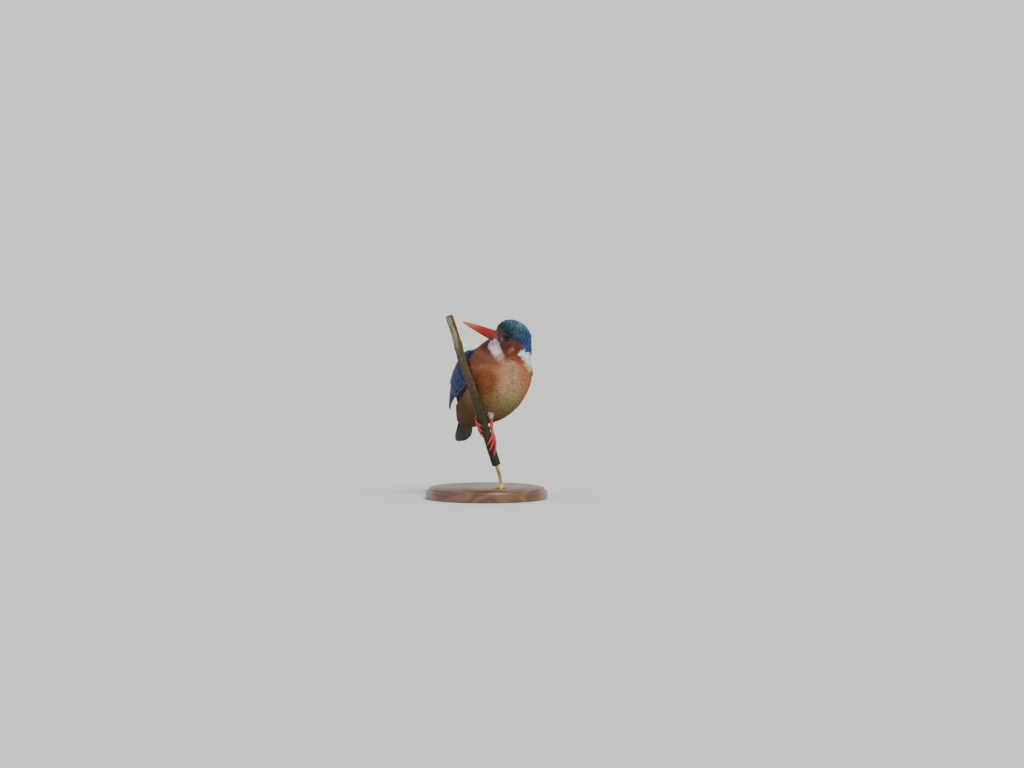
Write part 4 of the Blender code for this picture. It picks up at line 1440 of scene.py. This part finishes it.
def build_perch():
    material, wire, shader = new_material("weathered_bark", 0.85)
    place = wire.place()
    fibre = place.stretched((1.0, 1.0, 0.14)).noise(1500.0, 5.0, 0.65)
    blotch = place.stretched((1.0, 1.0, 0.35)).noise(130.0, 3.0)
    up = wire.node("ShaderNodeSeparateXYZ", None, {0: place}, 2)
    low = fibre.rise(0.35, 0.7).mix((0.012, 0.011, 0.005), (0.05, 0.04, 0.014))
    high = fibre.rise(0.35, 0.7).mix((0.03, 0.021, 0.008), (0.15, 0.1, 0.035))
    # Painted shade and light: the bark is dark low on the stem, below the bird, and lighter at its
    # top.
    bark = up.rise(55 * MM, 95 * MM).mix(low, high)
    wood = fibre.rise(0.3, 0.75).mix((0.2, 0.16, 0.09), (0.36, 0.3, 0.19))
    bare = wire.numbers("peeled") * blotch.rise(0.3, 0.5)
    paint(shader, {"Base Color": bare.mix(bark, wood)}, fibre, 0.25 * MM)
    grown = grown_skin(merged_copy("perch_stem"), BARK_VOXEL, 2)
    grown.normal_update()
    axis = Vector((*STEM_LEAN, 1.0)).normalized()
    peel_way = Vector(PEEL_SIDE).normalized()
    peels = []
    for vert in grown.verts:
        along = vert.co.dot(axis)
        across = vert.co - axis * along
        ridge = noise.noise(Vector((across.x, across.y, along * 0.12)) * 1300.0)
        dent = noise.noise(vert.co * 260.0)
        side = vert.normal.dot(peel_way)
        height = vert.co.z / MM
        peel = ease(0.62, 0.8, side + 0.35 * noise.noise(Vector((3.0, 0, height * 0.09))))
        peel *= ease(*PEEL_FROM, height)
        peels.append(float(peel))
        vert.co += vert.normal * (0.16 * ridge + 0.16 * dent - 0.22 * peel - 0.06) * MM
    piece = mesh_piece("bark_stem", grown, material)
    write_numbers(piece.data, "peeled", peels)
    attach(piece, "root")
    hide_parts("perch_stem")


build_perch()

# ---------------------------------------------------------------- Stand
# A turned walnut base with a small cove round its top edge. The bent rod that carries the stem
# and the collar at its foot are the CAD's own forms, in brushed brass.

BASE_RADIUS = 42.0
BASE_HEIGHT = 8.0
BASE_COVE = 2.2
BASE_ROUND = 0.8
BASE_ROUND_MIDDLE = 0.23


def turned(profile, steps=128):
    """A solid of revolution about Z from a profile of (radius, height), in millimetres."""
    bm = bmesh.new()
    verts = [bm.verts.new((r * MM, 0, z * MM)) for r, z in profile]
    edges = [bm.edges.new(pair) for pair in zip(verts, verts[1:])]
    bmesh.ops.spin(bm, geom=verts + edges, cent=(0, 0, 0), axis=(0, 0, 1), angle=TAU,
                   steps=steps, use_merge=True)
    bmesh.ops.remove_doubles(bm, verts=bm.verts, dist=0.001 * MM)
    bmesh.ops.recalc_face_normals(bm, faces=bm.faces)
    return bm


def build_stand():
    walnut, wire, shader = new_material("walnut", 0.35, coat_weight=0.25, coat_roughness=0.2)
    place = wire.place().stretched((1.0, 0.16, 1.0))
    warp = place.noise(60.0)
    rings = ((place.noise(24.0, 2.0) * 9.0 + warp * 0.6) * TAU).sine()
    pores = place.noise(1400.0, 2.0).rise(0.55, 0.7)
    wood = rings.rise(-1.0, 1.0).mix((0.12, 0.055, 0.026), (0.2, 0.1, 0.05))
    wood = (pores * 0.5).mix(wood, (0.04, 0.018, 0.01))
    paint(shader, {"Base Color": wood}, pores, 0.02 * MM)
    profile = [(0, 0), (BASE_RADIUS - BASE_ROUND, 0),
               (BASE_RADIUS - BASE_ROUND_MIDDLE, BASE_ROUND_MIDDLE), (BASE_RADIUS, BASE_ROUND)]
    for i in range(13):
        turn = math.pi / 2 * (1 - i / 12)
        profile.append((BASE_RADIUS - BASE_COVE * math.cos(turn),
                        BASE_HEIGHT - 0.6 - BASE_COVE * math.sin(turn)))
    profile += [(BASE_RADIUS - 2 * BASE_COVE + 0.15, BASE_HEIGHT - 0.12),
                (BASE_RADIUS - 2 * BASE_COVE, BASE_HEIGHT), (0, BASE_HEIGHT)]
    base = mesh_piece("walnut_base", turned(profile), walnut)
    base.data.set_sharp_from_angle(angle=math.radians(40.0))
    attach(base, "root")
    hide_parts("stand_base")
    brass, wire, shader = new_material("brushed_brass", 0.28, metallic=1.0)
    place = wire.place()
    brushed = place.stretched((1.0, 1.0, 0.1)).noise(4000.0)
    tone = place.noise(250.0)
    paint(shader, {"Base Color": tone.mix((0.78, 0.52, 0.2), (0.66, 0.42, 0.16)),
                   "Roughness": brushed * 0.2 + 0.18})
    for node in ("stand_rod", "stand_collar"):
        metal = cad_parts[node]
        metal.data.materials.clear()
        metal.data.materials.append(brass)


build_stand()
